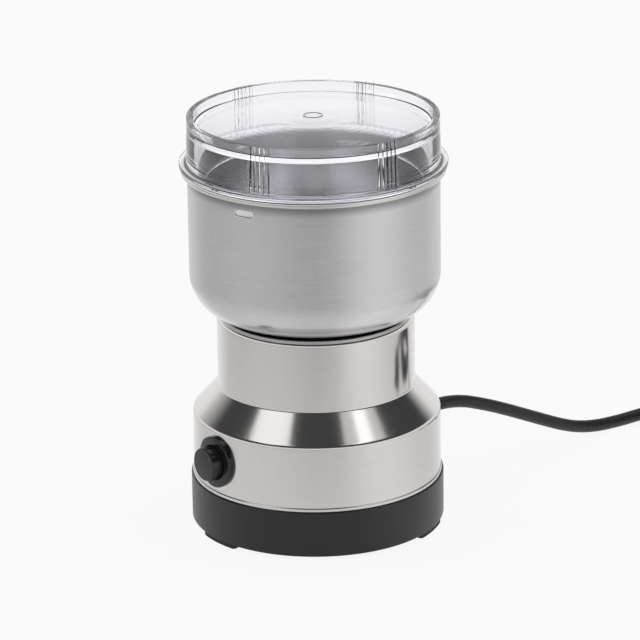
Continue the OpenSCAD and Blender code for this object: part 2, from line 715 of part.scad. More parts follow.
// Copper in the slots, joined by the end turns above and below the stack
module armature_winding() color([0.62, 0.34, 0.16]) {
    end_r = armature_d / 2 - winding_inset;
    for (z = [z_winding, z_stack]) translate([0, 0, z]) rotate_extrude()
        polygon(rounded([[shaft_r + fixed_gap, 0], [end_r, 0], [end_r, winding_h],
            [shaft_r + fixed_gap, winding_h]], [0, 2 * soft_r, 2 * soft_r, 0]));
    translate([0, 0, stator_z - 1]) linear_extrude(stator_h + 2) intersection() {
        slots_2d(slot_w - 2 * run_gap, slot_depth - close_gap);
        circle(end_r);
    }
}

module commutator() color([0.7, 0.42, 0.22]) translate([0, 0, z_commutator]) linear_extrude(commutator_h)
    difference() {
        circle(d = commutator_d);
        circle(shaft_r + fixed_gap);
        about([for (i = [0:segment_count - 1]) i * 360 / segment_count])
            translate([commutator_d / 2 - slit_depth, -slit_w / 2]) square([2 * slit_depth, slit_w]);
    }

module cooling_fan() color([0.12, 0.12, 0.13]) translate([0, 0, z_fan]) difference() {
    hub_r = shaft_r + fan_hub;
    union() {
        cylinder(d = fan_d, h = fan_t);
        cylinder(r = hub_r, h = fan_h);
        about([for (i = [0:vane_count - 1]) i * 360 / vane_count]) translate([hub_r - fan_t, -fan_t / 2, 0])
            cube([fan_d / 2 - hub_r, fan_t, fan_h - fan_t]);
    }
    translate([0, 0, -1]) cylinder(r = shaft_r + fixed_gap, h = fan_h + 2);
}

module sector_2d(outer, inner, span) rotate(-span / 2) intersection() {
    difference() {
        circle(outer);
        circle(inner);
    }
    polygon([[0, 0], for (i = [0:6]) 2 * outer * [cos(span * i / 6), sin(span * i / 6)]]);
}

module bolt_holes(r, z, h) about(bolt_angles) translate([bolt_radius, 0, z]) cylinder(r = r, h = h);

// Laminated yoke with two poles, their shoes curved round the armature
module motor_stator() color([0.4, 0.41, 0.44]) difference() {
    translate([0, 0, stator_z]) linear_extrude(stator_h) {
        difference() {
            intersection() {
                square([stator_w, stator_l], center = true);
                circle(d = stator_round);
            }
            circle(window_r);
        }
        about([0, 180]) {
            sector_2d(shoe_r, bore_r, shoe_span);
            translate([shoe_r - 1, -pole_w / 2]) square([window_r - shoe_r + 1.4, pole_w]);
        }
    }
    bolt_holes(bolt_d / 2 + fixed_gap, stator_z - 1, stator_h + 2);
}

// Saddle coils: an arc of copper round each pole's neck
module field_coils() color([0.66, 0.36, 0.16]) about([0, 180]) difference() {
    translate([0, 0, z_winding]) linear_extrude(stator_h + 2 * winding_h)
        sector_2d(window_r - close_gap, shoe_r + close_gap, shoe_span - field_margin);
    translate([0, -pole_w / 2 - close_gap, stator_z - close_gap])
        cube([window_r + 1, pole_w + 2 * close_gap, stator_h + 2 * close_gap]);
}

// Top disc under the shell, posts down to the base and bosses down to the stator
module motor_frame() color([0.85, 0.84, 0.8]) difference() {
    union() {
        translate([0, 0, z_frame]) cylinder(d = frame_d, h = frame_t);
        about(post_angles) translate([post_radius, 0, z_post])
            cylinder(d = post_d, h = z_frame - z_post + frame_t / 2);
        about(bolt_angles) translate([bolt_radius, 0, z_stack])
            cylinder(d = boss_d, h = z_frame - z_stack + frame_t / 2);
    }
    translate([0, 0, z_frame - 1]) cylinder(r = bush_r + fixed_gap, h = frame_t + 2);
    about(post_angles) translate([post_radius, 0, z_post - 1])
        cylinder(d = screw_d + 2 * fixed_gap, h = base_h);
    bolt_holes(bolt_d / 2 + fixed_gap, z_stack - 1, 1 + bolt_grip + 2 * hole_gap);
}

// Cross of two bolted arms and two brush arms with a bearing cup at the middle
module lower_bracket() color([0.8, 0.8, 0.78]) difference() {
    union() {
        translate([0, 0, z_bracket]) linear_extrude(bracket_t) {
            circle(mast_r);
            about(bolt_angles) {
                translate([0, -bracket_w / 2]) square([bolt_radius, bracket_w]);
                translate([bolt_radius, 0]) circle(d = bracket_w);
            }
            about([90, 270]) translate([0, -holder_w / 2]) square([holder_in + holder_l, holder_w]);
        }
        translate([0, 0, z_bearing]) cylinder(r = mast_r, h = bearing_l);
        about(bolt_angles) translate([bolt_radius, 0, z_bracket])
            cylinder(d = boss_d, h = stator_z - z_bracket);
    }
    translate([0, 0, z_bearing - 1]) cylinder(d = bearing_d + 2 * fixed_gap, h = bearing_l + 2);
    bolt_holes(bolt_d / 2 + fixed_gap, z_bracket - 1, stator_z);
}

module lower_bearing() color([0.7, 0.55, 0.32])
    ring(bearing_d / 2, journal_r + run_gap, z_bearing, bearing_l);

module stator_bolts() color([0.7, 0.7, 0.72]) about(bolt_angles) translate([bolt_radius, 0, 0]) {
    head_h = bolt_d * 0.6;
    translate([0, 0, z_bracket - head_h]) cylinder(d = 2 * bolt_d, h = head_h);
    translate([0, 0, z_bracket - head_h / 2])
        cylinder(d = bolt_d, h = head_h / 2 + z_stack - z_bracket + bolt_grip);
}

module brush_box(w, from, to) translate([-w / 2, from, brush_z - w / 2]) cube([w, to - from, w]);

module brush_holders() color([0.76, 0.62, 0.3]) about([0, 180]) difference() {
    brush_box(holder_w, holder_in, holder_in + holder_l);
    brush_box(brush_w + 2 * fixed_gap, 0, holder_in + holder_l - holder_wall);
}

// Carbon blocks ground to the commutator's curve
module carbon_brushes() color([0.16, 0.16, 0.16]) about([0, 180]) difference() {
    brush_box(brush_w, commutator_d / 2 - 1, holder_in + holder_l - holder_wall - fixed_gap);
    cylinder(d = commutator_d + 4 * run_gap, h = z_top);
}

// One drawn piece: turned-in top, neck, sloping shoulder, skirt and rolled hem
module steel_shell() color([0.7, 0.69, 0.68]) difference() {
    rotate_extrude() {
        sheet(rounded([[skirt_r, z_skirt], [skirt_r, z_shoulder], [neck_r, z_neck], [neck_r, z_top],
            [bush_r + fixed_gap, z_top]], [0, shell_edge, waist_r, shell_edge, 0], 8), shell_t);
        polygon(rounded([[skirt_in, z_skirt], [skirt_r + hem_out, z_skirt],
            [skirt_r + hem_out, z_skirt + hem_h], [skirt_in, z_skirt + hem_h]],
            [0, hem_out * 0.5, hem_out * 0.9, 0], 4));
    }
    facing_front() cylinder(d = bezel_neck_d + 2 * close_gap, h = base_r);
    facing_back() cylinder(r = relief_d / 2 - relief_groove, h = base_r);
}

module foot_shape(w, h) {
    for (i = [0:foot_count - 1]) rotate(foot_turn - 90 + i * 360 / foot_count) {
        rotate(-foot_span / 2) rotate_extrude(angle = foot_span)
            translate([foot_r - w / 2, 0]) square([w, h]);
        for (end = [-1, 1]) rotate(end * foot_span / 2) translate([foot_r, 0, 0]) cylinder(d = w, h = h);
    }
}

// Cup with a lip for the skirt, screw towers, foot pockets and a ring of cooling slots
module base_housing() color([0.1, 0.1, 0.1]) difference() {
    inner_r = base_r - base_wall;
    vent_in = screw_head_d + vent_w;
    union() {
        rotate_extrude() polygon(rounded([[0, z_base], [base_r, z_base], [base_r, z_skirt],
            [lip_r, z_skirt], [lip_r, z_skirt + lip_h], [lip_r - lip_t, z_skirt + lip_h],
            [lip_r - lip_t, z_skirt - base_wall], [inner_r, z_skirt - 2 * base_wall], [inner_r, z_floor],
            [0, z_floor]], [0, base_edge, edge_r, 0, edge_r, edge_r, 0, 0, 2 * soft_r, 0]));
        about(post_angles) translate([post_radius, 0, z_base])
            cylinder(d = screw_head_d + 2 * tower_wall, h = z_post - z_base);
    }
    about(post_angles) translate([post_radius, 0, z_base - 1]) {
        cylinder(d = screw_d + 2 * close_gap, h = base_h);
        cylinder(d = screw_head_d + 2 * close_gap, h = 1 + screw_head_h + foot_pocket);
    }
    translate([0, 0, z_base - 1]) foot_shape(foot_w + 2 * fixed_gap, 1 + foot_pocket);
    about([for (i = [0:vent_count - 1]) (i + 0.5) * 360 / vent_count])
        translate([vent_in, -vent_w / 2, z_base - 1])
            cube([post_radius - screw_head_d - vent_in, vent_w, base_wall + 2]);
    facing_back() cylinder(d = relief_d + 2 * close_gap, h = base_r);
    facing_front() cylinder(d = bezel_nut_af / cos(30) + 2 * close_gap, h = base_r);
}

module rubber_feet() color([0.06, 0.06, 0.06]) foot_shape(foot_w, foot_h + foot_pocket);

module base_screws() color([0.6, 0.6, 0.62]) about(post_angles)
    translate([post_radius, 0, z_base + foot_pocket]) difference() {
        union() {
            cylinder(d = screw_head_d, h = screw_head_h);
            cylinder(d = screw_d, h = base_h - foot_pocket - 3);
        }
        for (turn = [0, 90]) rotate(turn) translate([-screw_d / 2, -0.4, -1]) cube([screw_d, 0.8, 2]);
    }

// Round bezel that sits on the curved skirt, with a threaded neck through it
module button_bezel() color([0.09, 0.09, 0.09]) difference() {
    bezel_back = skirt_in - bezel_d / 4;
    union() {
        difference() {
            facing_front() rotate_extrude() polygon(rounded([[0, bezel_back], [bezel_d / 2, bezel_back],
                [bezel_d / 2, y_bezel], [0, y_bezel]], [0, 0, bezel_edge, 0]));
            cylinder(r = skirt_r + fixed_gap, h = z_top);
        }
        facing_front() translate([0, 0, y_switch])
            cylinder(d = bezel_neck_d, h = y_bezel - y_switch - bezel_edge);
    }
    facing_front() translate([0, 0, y_switch - 1]) cylinder(d = cap_d + 4 * close_gap, h = base_r);
}

module bezel_nut() color([0.65, 0.65, 0.66]) facing_front() translate([0, 0, y_nut - bezel_nut_h])
    difference() {
        cylinder(d = bezel_nut_af / cos(30), h = bezel_nut_h, $fn = 6);
        translate([0, 0, -1]) cylinder(d = bezel_neck_d + 2 * fixed_gap, h = bezel_nut_h + 2);
    }

module button_cap() color([0.07, 0.07, 0.07]) facing_front() {
    cap_back = y_switch + button_travel + hole_gap;
    rotate_extrude() polygon(rounded([[0, cap_back], [cap_d / 2, cap_back], [cap_d / 2, y_cap],
        [cap_d * 0.3, y_cap], [0, y_cap - edge_r]], [0, edge_r, cap_edge, 0, 0]));
}

// Stem under the cap, with a collar that the spring presses against the switch's front wall
module switch_plunger() color([0.8, 0.8, 0.78]) facing_front() {
    translate([0, 0, y_collar]) cylinder(d = plunger_d, h = y_switch + button_travel + hole_gap - y_collar);
    translate([0, 0, y_collar]) cylinder(r = collar_r, h = collar_t);
}

module button_spring() color([0.7, 0.7, 0.7]) sweep(spring_path, spring_wire / 2, 6);

module switch_body() color([0.12, 0.12, 0.14]) difference() {
    translate([-switch_w / 2, -y_switch, panel_z - switch_w / 2]) cube([switch_w, switch_l, switch_w]);
    facing_front() translate([0, 0, y_chamber_end]) cylinder(r = chamber_r, h = y_chamber - y_chamber_end);
    facing_front() translate([0, 0, y_chamber - 1]) cylinder(d = plunger_d + 4 * run_gap, h = base_r);
}

module switch_terminals() color([0.78, 0.7, 0.45]) for (side = [-1, 1])
    translate([side * tab_x - tab_t / 2, -y_switch_end, panel_z - tab_w / 2]) cube([tab_t, tab_l, tab_w]);

module inner_leads() color([0.16, 0.2, 0.45])
    for (points = [supply_points, brush_points, switch_points]) sweep(smooth(points, 2), wire_r, 8);

// Rubber sleeve with a groove for the sheet, tapering to the cord
module cord_relief() color([0.07, 0.07, 0.07]) facing_back() rotate_extrude() {
    outer = relief_d / 2;
    groove_r = outer - relief_groove - fixed_gap;
    groove_in = skirt_in - relief_seat;
    groove_out = skirt_r + fixed_gap;
    polygon(rounded([[0, relief_start], [outer - relief_flange, relief_start],
        [outer, groove_in - relief_flange], [outer, groove_in], [groove_r, groove_in],
        [groove_r, groove_out], [outer, groove_out], [outer, groove_out + relief_flange],
        [outer - relief_groove, groove_out + relief_flange + soft_r], [cord_r + relief_wall, relief_end],
        [0, relief_end]], [0, edge_r, edge_r, 0, 0, 0, 0, soft_r, 0, soft_r, 0]));
}

module cord_lead() color([0.06, 0.06, 0.06]) sweep(lead_points, cord_r, 10);

module cord_coil() color([0.06, 0.06, 0.06]) sweep(coil_path, cord_r, coil_sides);

module cord_tail() color([0.06, 0.06, 0.06]) sweep(tail_points, cord_r, 10);

// Flat strap round all turns, on the side away from the tail
module cord_tie() color([0.1, 0.1, 0.1]) {
    radii = [for (turns = [tie_turn:1:2 * coil_turns]) coil_radius(turns)];
    inner = sqrt(pow(min(radii) - cord_r, 2) - pow(tie_w / 2, 2)) - tie_gap;
    width = max(radii) + cord_r + tie_gap - inner;
    height = coil_pitch + cord_d + 2 * tie_gap;
    translate([coil_centre.x, coil_centre.y, 0]) rotate(coil_angle(tie_turn))
        translate([inner, tie_w / 2, tie_t])
        rotate([90, 0, 0]) linear_extrude(tie_w) difference() {
            translate([-tie_t, -tie_t]) square([width + 2 * tie_t, height + 2 * tie_t]);
            square([width, height]);
        }
}

// Flat plug that tapers to the cord, its faces rounded
module plug_body() color([0.06, 0.06, 0.06]) translate(plug_at) rotate([90, 0, 0])
    intersection() {
        plug_r = plug_w / 2;
        rotate_extrude() polygon(rounded([[0, 0], [cord_r + relief_wall, 0],
            [cord_r + 2 * relief_wall, plug_l * 0.3], [plug_r, plug_l * 0.62], [plug_r, plug_l],
            [0, plug_l]], [0, soft_r, plug_l / 8, plug_l / 8, 2 * soft_r, 0]));
        translate([-plug_r, -plug_t / 2, 0]) cube([plug_w, plug_t, plug_l]);
    }

module plug_pins() color([0.75, 0.75, 0.75]) for (side = [-1, 1])
    translate(plug_at + [side * pin_pitch / 2, -plug_l, 0]) rotate([90, 0, 0]) {
        cylinder(d = pin_d, h = pin_l - pin_d / 2);
        translate([0, 0, pin_l - pin_d / 2]) sphere(d = pin_d);
    }

lid_cover();
bowl();
bowl_gasket();
bowl_bush();
bush_nut();
shaft_seal();
blade();
blade_driver();
blade_nut();
motor_shaft();
armature_core();
armature_winding();
commutator();
cooling_fan();
motor_stator();
field_coils();
motor_frame();
lower_bracket();
lower_bearing();
stator_bolts();
brush_holders();
carbon_brushes();
steel_shell();
base_housing();
rubber_feet();
base_screws();
button_bezel();
bezel_nut();
button_cap();
switch_plunger();
button_spring();
switch_body();
switch_terminals();
inner_leads();
cord_relief();
cord_lead();
cord_coil();
cord_tail();
cord_tie();
plug_body();
plug_pins();
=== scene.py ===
# %% [markdown]
# # An electric spice grinder, dressed for its portrait
# The grinder stands on a waisted steel shell with a black base. A drawn steel bowl sits on top under
# a clear lid, a push button faces the front and the mains cord leaves at the back. The solids are made
# already, so this script only adds looks: it loads them as a fixed frame and never moves one.

# %% Load the frame
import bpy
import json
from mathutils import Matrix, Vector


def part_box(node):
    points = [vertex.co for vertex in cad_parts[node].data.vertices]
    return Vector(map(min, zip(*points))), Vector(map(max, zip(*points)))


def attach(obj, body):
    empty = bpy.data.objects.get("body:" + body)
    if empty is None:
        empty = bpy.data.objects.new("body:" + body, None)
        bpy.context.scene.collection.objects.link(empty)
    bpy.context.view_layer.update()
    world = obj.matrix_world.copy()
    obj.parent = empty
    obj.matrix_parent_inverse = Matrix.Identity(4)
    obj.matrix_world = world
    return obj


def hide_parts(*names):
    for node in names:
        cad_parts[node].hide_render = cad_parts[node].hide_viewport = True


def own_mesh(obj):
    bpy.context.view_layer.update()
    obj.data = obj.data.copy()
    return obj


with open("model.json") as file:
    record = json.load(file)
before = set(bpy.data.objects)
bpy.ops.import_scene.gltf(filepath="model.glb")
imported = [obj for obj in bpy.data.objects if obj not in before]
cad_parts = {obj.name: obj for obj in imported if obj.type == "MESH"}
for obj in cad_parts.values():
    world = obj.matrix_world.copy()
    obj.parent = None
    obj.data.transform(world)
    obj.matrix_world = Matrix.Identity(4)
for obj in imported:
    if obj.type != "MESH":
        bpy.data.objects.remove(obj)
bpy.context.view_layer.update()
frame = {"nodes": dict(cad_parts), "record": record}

import json
import math

import bmesh
import bpy
from mathutils import Matrix, Vector

MM = 0.001
nodes = frame["nodes"]
print("nodes in the frame:", len(nodes))


def box_mm(node):
    """Lowest and highest corner of a solid, in millimetres."""
    low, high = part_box(node)
    return low / MM, high / MM


# %% [markdown]
# ## Camera
# The photograph was taken with a long lens, from a little above and from the right of the button.
# A camera can be placed by hand until the picture fits, but the rings of the object give its place:
# eight of them were measured, and the distance, height, tilt and focal length below fit them all.

# %% Camera
PHOTO_WIDTH_PX = 640
FOCAL_PX = 3970.9
SENSOR_MM = 36
view_turn = math.radians(53.5)
view_tilt = math.radians(19.02)
view_roll = math.radians(-0.74)
camera_distance = 1.4813
camera_height = 0.5926
camera_aside = 0.0017

image_right = Vector((math.cos(view_turn), math.sin(view_turn), 0))
image_away = Vector((-math.sin(view_turn), math.cos(view_turn), 0))
straight_up = Vector((0, 0, 1))
looks_at = image_away * math.cos(view_tilt) - straight_up * math.sin(view_tilt)
image_up = image_away * math.sin(view_tilt) + straight_up * math.cos(view_tilt)
rolled_right = image_right * math.cos(view_roll) + image_up * math.sin(view_roll)
rolled_up = image_up * math.cos(view_roll) - image_right * math.sin(view_roll)


def placed(name, data):
    """A new object in the scene."""
    made = bpy.data.objects.new(name, data)
    bpy.context.scene.collection.objects.link(made)
    return made


camera = placed("camera", bpy.data.cameras.new("camera"))
camera.data.sensor_width = SENSOR_MM
camera.data.lens = FOCAL_PX / PHOTO_WIDTH_PX * SENSOR_MM
camera_place = image_right * camera_aside - image_away * camera_distance + straight_up * camera_height
camera.matrix_world = Matrix.Translation(camera_place) @ Matrix(
    (rolled_right, rolled_up, -looks_at)).transposed().to_4x4()
bpy.context.scene.camera = camera
print("lens in millimetres:", round(camera.data.lens, 1))

# %% [markdown]
# ## Finishes
# Each finish is one Principled shader with a few texture nodes in front of it. An image could carry
# the brushing, but noise that is stretched round the axis gives lines at any distance and needs no
# file. Values that are the same all over a surface are set on the shader itself.

# %% Helpers for materials
NOISE_LOW = 0.3
NOISE_HIGH = 0.7
LINES_PER_METRE = 1400.0


def new_finish(name, color, roughness, **sockets):
    """A material with one Principled shader, and its node tree."""
    material = bpy.data.materials.new(name)
    material.use_nodes = True
    shader = material.node_tree.nodes["Principled BSDF"]
    shader.inputs["Base Color"].default_value = (*color, 1)
    shader.inputs["Roughness"].default_value = roughness
    for socket, value in sockets.items():
        shader.inputs[socket.replace("_", " ")].default_value = value
    return material, material.node_tree, shader


def math_node(tree, operation, first, second=None):
    """One arithmetic node; an argument is a number or the output of another node."""
    node = tree.nodes.new("ShaderNodeMath")
    node.operation = operation
    for place, value in enumerate((first, second)):
        if isinstance(value, (int, float)):
            node.inputs[place].default_value = value
        elif value is not None:
            tree.links.new(value, node.inputs[place])
    return node.outputs[0]


def noise(tree, vector, scale, detail=4.0, rough=0.6):
    """Soft noise between 0 and 1."""
    node = tree.nodes.new("ShaderNodeTexNoise")
    node.inputs["Scale"].default_value = scale
    node.inputs["Detail"].default_value = detail
    node.inputs["Roughness"].default_value = rough
    tree.links.new(vector, node.inputs["Vector"])
    return node.outputs["Fac"]


def map_range(tree, value, start, end, low, high, smooth=False):
    """Maps what lies between start and end to what lies between low and high, and stops there."""
    node = tree.nodes.new("ShaderNodeMapRange")
    if smooth:
        node.interpolation_type = "SMOOTHSTEP"
    for socket, number in zip(("From Min", "From Max", "To Min", "To Max"), (start, end, low, high)):
        node.inputs[socket].default_value = number
    tree.links.new(value, node.inputs["Value"])
    return node.outputs["Result"]


def spread(tree, value, low, high):
    """Maps the middle of a noise to a range of values."""
    return map_range(tree, value, NOISE_LOW, NOISE_HIGH, low, high)


def tint(tree, value, dark, light):
    """Maps a noise to a blend of two colours."""
    node = tree.nodes.new("ShaderNodeValToRGB")
    stops = node.color_ramp.elements
    for stop, position, color in zip(stops, (NOISE_LOW, NOISE_HIGH), (dark, light)):
        stop.position = position
        stop.color = (*color, 1)
    tree.links.new(value, node.inputs["Fac"])
    return node.outputs["Color"]


def raise_surface(tree, shader, height, depth):
    """Bump from a height that runs from 0 to 1, with a depth in metres."""
    node = tree.nodes.new("ShaderNodeBump")
    node.inputs["Strength"].default_value = 1.0
    node.inputs["Distance"].default_value = depth
    tree.links.new(height, node.inputs["Height"])
    tree.links.new(node.outputs["Normal"], shader.inputs["Normal"])


def place_on(tree):
    """The point on the piece, in metres."""
    return tree.nodes.new("ShaderNodeTexCoord").outputs["Object"]


def polar(tree):
    """The point as angle about the axis, height and distance from the axis."""
    split = tree.nodes.new("ShaderNodeSeparateXYZ")
    tree.links.new(place_on(tree), split.inputs[0])
    angle = math_node(tree, "ARCTAN2", split.outputs["Y"], split.outputs["X"])
    across = math_node(tree, "MULTIPLY", split.outputs["X"], split.outputs["X"])
    along = math_node(tree, "MULTIPLY", split.outputs["Y"], split.outputs["Y"])
    return angle, split.outputs["Z"], math_node(tree, "SQRT", math_node(tree, "ADD", across, along))


def joined(tree, x, y, z):
    """Three values as one vector."""
    node = tree.nodes.new("ShaderNodeCombineXYZ")
    for socket, value in zip(node.inputs, (x, y, z)):
        tree.links.new(value, socket)
    return node.outputs[0]


def round_axis(tree):
    """The point stretched so that noise makes lines round the axis."""
    angle, height, radius = polar(tree)
    return joined(tree, angle, math_node(tree, "MULTIPLY", height, LINES_PER_METRE),
                  math_node(tree, "MULTIPLY", radius, LINES_PER_METRE))


print("turned lines in a metre:", LINES_PER_METRE)

# %% Steel
MARK_CLIMB = 14.0
MARKS_PER_TURN = 60.0
MARK_STRETCH = 5.0
LINE_SHARE = 0.6
CLOUD_SHARE = 0.4
MARK_SHARE = 0.22
POLISH = 0.6
# Reach and depth of the painted shadow under the bowl's rolled rim, where the roll's shade falls.
RIM_SHADOW_FADE = 0.005
RIM_PAINTED_SHADOW = 0.6
UPRIGHT_GRAIN = (0.02, 0.01, 1)


def centred(tree, value, share):
    """A noise as a part of a sum, above and below zero."""
    return math_node(tree, "MULTIPLY", math_node(tree, "SUBTRACT", value, 0.5), share)


def brushed_steel(name, dark, light, smooth, rough, stretch, depth,
                  polished_to=0.0, rolled_from=1.0, rim_shadow_top=9.0):
    """Drawn steel with lines round the axis, a soft mottle and curved tool marks.

    It is smoother up to one radius and beyond another, and has a painted shadow: its colour darkens just
    under a rolled edge at a height.
    """
    material, tree, shader = new_finish(name, light, smooth, Metallic=1.0, Anisotropic=stretch)
    lines = noise(tree, round_axis(tree), 3.0, 6.0, 0.7)
    cloud = noise(tree, place_on(tree), 26.0, 3.0)
    angle, height, radius = polar(tree)
    climb = math_node(tree, "MULTIPLY", height, MARK_CLIMB)
    across = math_node(tree, "MULTIPLY", math_node(tree, "ADD", angle, climb), MARKS_PER_TURN)
    along = math_node(tree, "MULTIPLY", math_node(tree, "SUBTRACT", angle, climb), MARK_STRETCH)
    marks = noise(tree, joined(tree, across, along, radius), 1.0, 3.0)
    outside = math_node(tree, "GREATER_THAN", radius, polished_to)
    worked = math_node(tree, "ADD", centred(tree, lines, LINE_SHARE), centred(tree, marks, MARK_SHARE))
    worked = math_node(tree, "MULTIPLY", worked, outside)
    mixed = math_node(tree, "ADD", math_node(tree, "ADD", worked, centred(tree, cloud, CLOUD_SHARE)), 0.5)
    wall = math_node(tree, "MULTIPLY", outside, math_node(tree, "LESS_THAN", radius, rolled_from))
    # Painted shadow: the wall's colour darkens towards the underside of the rolled rim.
    painted_rim_shadow = map_range(tree, height, rim_shadow_top - RIM_SHADOW_FADE, rim_shadow_top, 0.0, RIM_PAINTED_SHADOW, smooth=True)
    toned = tree.nodes.new("ShaderNodeHueSaturation")
    tree.links.new(tint(tree, mixed, dark, light), toned.inputs["Color"])
    painted_shadow_value = math_node(tree, "SUBTRACT", 1, math_node(tree, "MULTIPLY", wall, painted_rim_shadow))
    tree.links.new(painted_shadow_value, toned.inputs["Value"])
    tree.links.new(toned.outputs["Color"], shader.inputs["Base Color"])
    gloss = math_node(tree, "ADD", math_node(tree, "MULTIPLY", wall, 1 - POLISH), POLISH)
    dull = math_node(tree, "MULTIPLY", spread(tree, mixed, smooth, rough), gloss)
    tree.links.new(dull, shader.inputs["Roughness"])
    raise_surface(tree, shader, math_node(tree, "MULTIPLY", lines, outside), depth)
    tangent = tree.nodes.new("ShaderNodeTangent")
    tangent.direction_type = "RADIAL"
    tangent.axis = "Z"
    grain = tree.nodes.new("ShaderNodeMix")
    grain.data_type = "VECTOR"
    tree.links.new(outside, grain.inputs[0])
    grain.inputs[4].default_value = UPRIGHT_GRAIN
    tree.links.new(tangent.outputs[0], grain.inputs[5])
    tree.links.new(grain.outputs[1], shader.inputs["Tangent"])
    return material


RIM_OUT = 2.5
RIM_H = 3
SKIN = 0.4
bowl_top = box_mm("bowl")[1]
# The bowl's steel carries a painted shadow just under its rolled rim.
bowl_steel = brushed_steel(
    "bowl_steel", (0.57, 0.57, 0.575), (0.72, 0.72, 0.725), 0.22, 0.36, 0.6, 2.5e-6,
    polished_to=(bowl_top.x - RIM_OUT - SKIN) * MM, rolled_from=(bowl_top.x - RIM_OUT + SKIN) * MM,
    rim_shadow_top=(bowl_top.z - RIM_H) * MM)
shell_steel = brushed_steel("shell_steel", (0.64, 0.622, 0.61), (0.72, 0.70, 0.687), 0.09, 0.17, 0.5, 2e-6)
blade_steel = brushed_steel("blade_steel", (0.6, 0.6, 0.61), (0.7, 0.7, 0.71), 0.18, 0.3, 0.3, 4e-6)
print("steels:", bowl_steel.name, shell_steel.name, blade_steel.name)


# %% Plastics, rubber and metals inside


def moulded(name, dark, light, smooth, rough, grain, depth, **sockets):
    """A moulded or cast surface: fine grain in its height, colour and gloss."""
    material, tree, shader = new_finish(name, light, smooth, **sockets)
    fine = noise(tree, place_on(tree), grain, 3.0)
    tree.links.new(tint(tree, fine, dark, light), shader.inputs["Base Color"])
    tree.links.new(spread(tree, fine, smooth, rough), shader.inputs["Roughness"])
    raise_surface(tree, shader, fine, depth)
    return material


clear_plastic = new_finish(
    "clear_plastic", (0.965, 0.96, 0.995), 0.02, IOR=1.5, Transmission_Weight=1.0)[0]
finishes = {"bowl_steel": bowl_steel, "shell_steel": shell_steel, "blade_steel": blade_steel,
            "clear_plastic": clear_plastic}
moulded_looks = {
    "base_plastic": ((0.007, 0.007, 0.008), (0.011, 0.011, 0.012), 0.28, 0.38, 2200, 1.2e-5),
    "black_plastic": ((0.018, 0.018, 0.018), (0.026, 0.026, 0.026), 0.4, 0.55, 1500, 1e-5),
    "button_plastic": ((0.01, 0.01, 0.011), (0.014, 0.014, 0.015), 0.13, 0.2, 1800, 2e-6),
    "pale_plastic": ((0.7, 0.69, 0.65), (0.78, 0.77, 0.73), 0.4, 0.55, 900, 1e-5),
    "rubber": ((0.014, 0.014, 0.014), (0.022, 0.022, 0.022), 0.6, 0.8, 1200, 2e-5),
    "cord_sheath": ((0.012, 0.012, 0.013), (0.02, 0.02, 0.021), 0.34, 0.5, 900, 1.2e-5),
    "wire_sheath": ((0.06, 0.09, 0.3), (0.09, 0.13, 0.4), 0.35, 0.5, 900, 6e-6),
    "tie_strap": ((0.015, 0.015, 0.015), (0.035, 0.035, 0.035), 0.7, 0.9, 3000, 5e-5),
    "carbon": ((0.03, 0.03, 0.03), (0.06, 0.06, 0.06), 0.5, 0.7, 1500, 1e-5),
}
metal_looks = {
    "plated_steel": ((0.6, 0.6, 0.62), (0.7, 0.7, 0.72), 0.14, 0.24, 300, 2e-6),
    "lamination": ((0.2, 0.2, 0.22), (0.32, 0.32, 0.34), 0.4, 0.6, 600, 1e-5),
    "copper": ((0.5, 0.22, 0.1), (0.66, 0.32, 0.16), 0.25, 0.4, 900, 1e-5),
    "bronze": ((0.5, 0.36, 0.18), (0.62, 0.46, 0.26), 0.35, 0.5, 700, 1e-5),
    "brass": ((0.66, 0.5, 0.22), (0.76, 0.6, 0.3), 0.2, 0.35, 500, 4e-6),
}
for name, look in moulded_looks.items():
    finishes[name] = moulded(name, *look)
for name, look in metal_looks.items():
    finishes[name] = moulded(name, *look, Metallic=1.0)
print("finishes:", len(finishes))

# %% [markdown]
# ## The solids get their finishes
# Most solids already have the right shape, so they stay and only take a finish. The record says which
# finish each one has, and the same names are used here.

# %% Finishes on the solids
for part in frame["record"]["subparts"]:
    solid = nodes[part["node"]]
    solid.data.materials.clear()
    solid.data.materials.append(finishes[part["material_slot"]])


def dress(piece, body, slot, *replaced):
    """A new piece takes a finish, rides on a body and stands for solids."""
    piece.data.materials.append(finishes[slot])
    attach(piece, body)
    if replaced:
        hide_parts(*replaced)
    return piece


# %% [markdown]
# ## Turned pieces
# The lid, the bowl and the shell are all round, so each is an outline swept once round the axis. A
# modifier could sweep it, but a mesh made ring by ring lets ribs and dents move single points, so the
# sheet stays one clean skin. Round corners of an outline are arcs.

# %% Helpers for turned pieces
AROUND = 256
GUARD = 0.15
SHARP_DEGREES = 32
FRONT = -math.pi / 2


def around(radius, angle, height):
    """A point in metres, from a radius and a height in millimetres."""
    return radius * math.cos(angle) * MM, radius * math.sin(angle) * MM, height * MM


def fillet(before, corner, after, radius, steps):
    """Points of an arc in place of a corner."""
    one = (Vector(before) - Vector(corner)).normalized()
    two = (Vector(after) - Vector(corner)).normalized()
    half = one.angle(two) / 2
    centre = Vector(corner) + (one + two).normalized() * radius / math.sin(half)
    start = Vector(corner) + one * radius / math.tan(half) - centre
    end = Vector(corner) + two * radius / math.tan(half) - centre
    turn = math.atan2(start.x * end.y - start.y * end.x, start.dot(end))
    return [centre + Matrix.Rotation(turn * i / steps, 2) @ start for i in range(steps + 1)]


def rounded(path, radii, steps=10):
    """An outline whose corners are arcs where they have a radius."""
    found = []
    for i, (corner, radius) in enumerate(zip(path, radii)):
        if radius:
            found += fillet(path[i - 1], corner, path[(i + 1) % len(path)], radius, steps)
        else:
            found.append(Vector(corner))
    return found


def guarded(outline):
    """Extra points beside the ends of straight stretches, which smooth shading then leaves flat."""
    found = []
    for here, there in zip(outline, outline[1:] + outline[:1]):
        found.append(here)
        length = (there - here).length
        if length > 4 * GUARD:
            found += [here.lerp(there, GUARD / length), there.lerp(here, GUARD / length)]
    return found


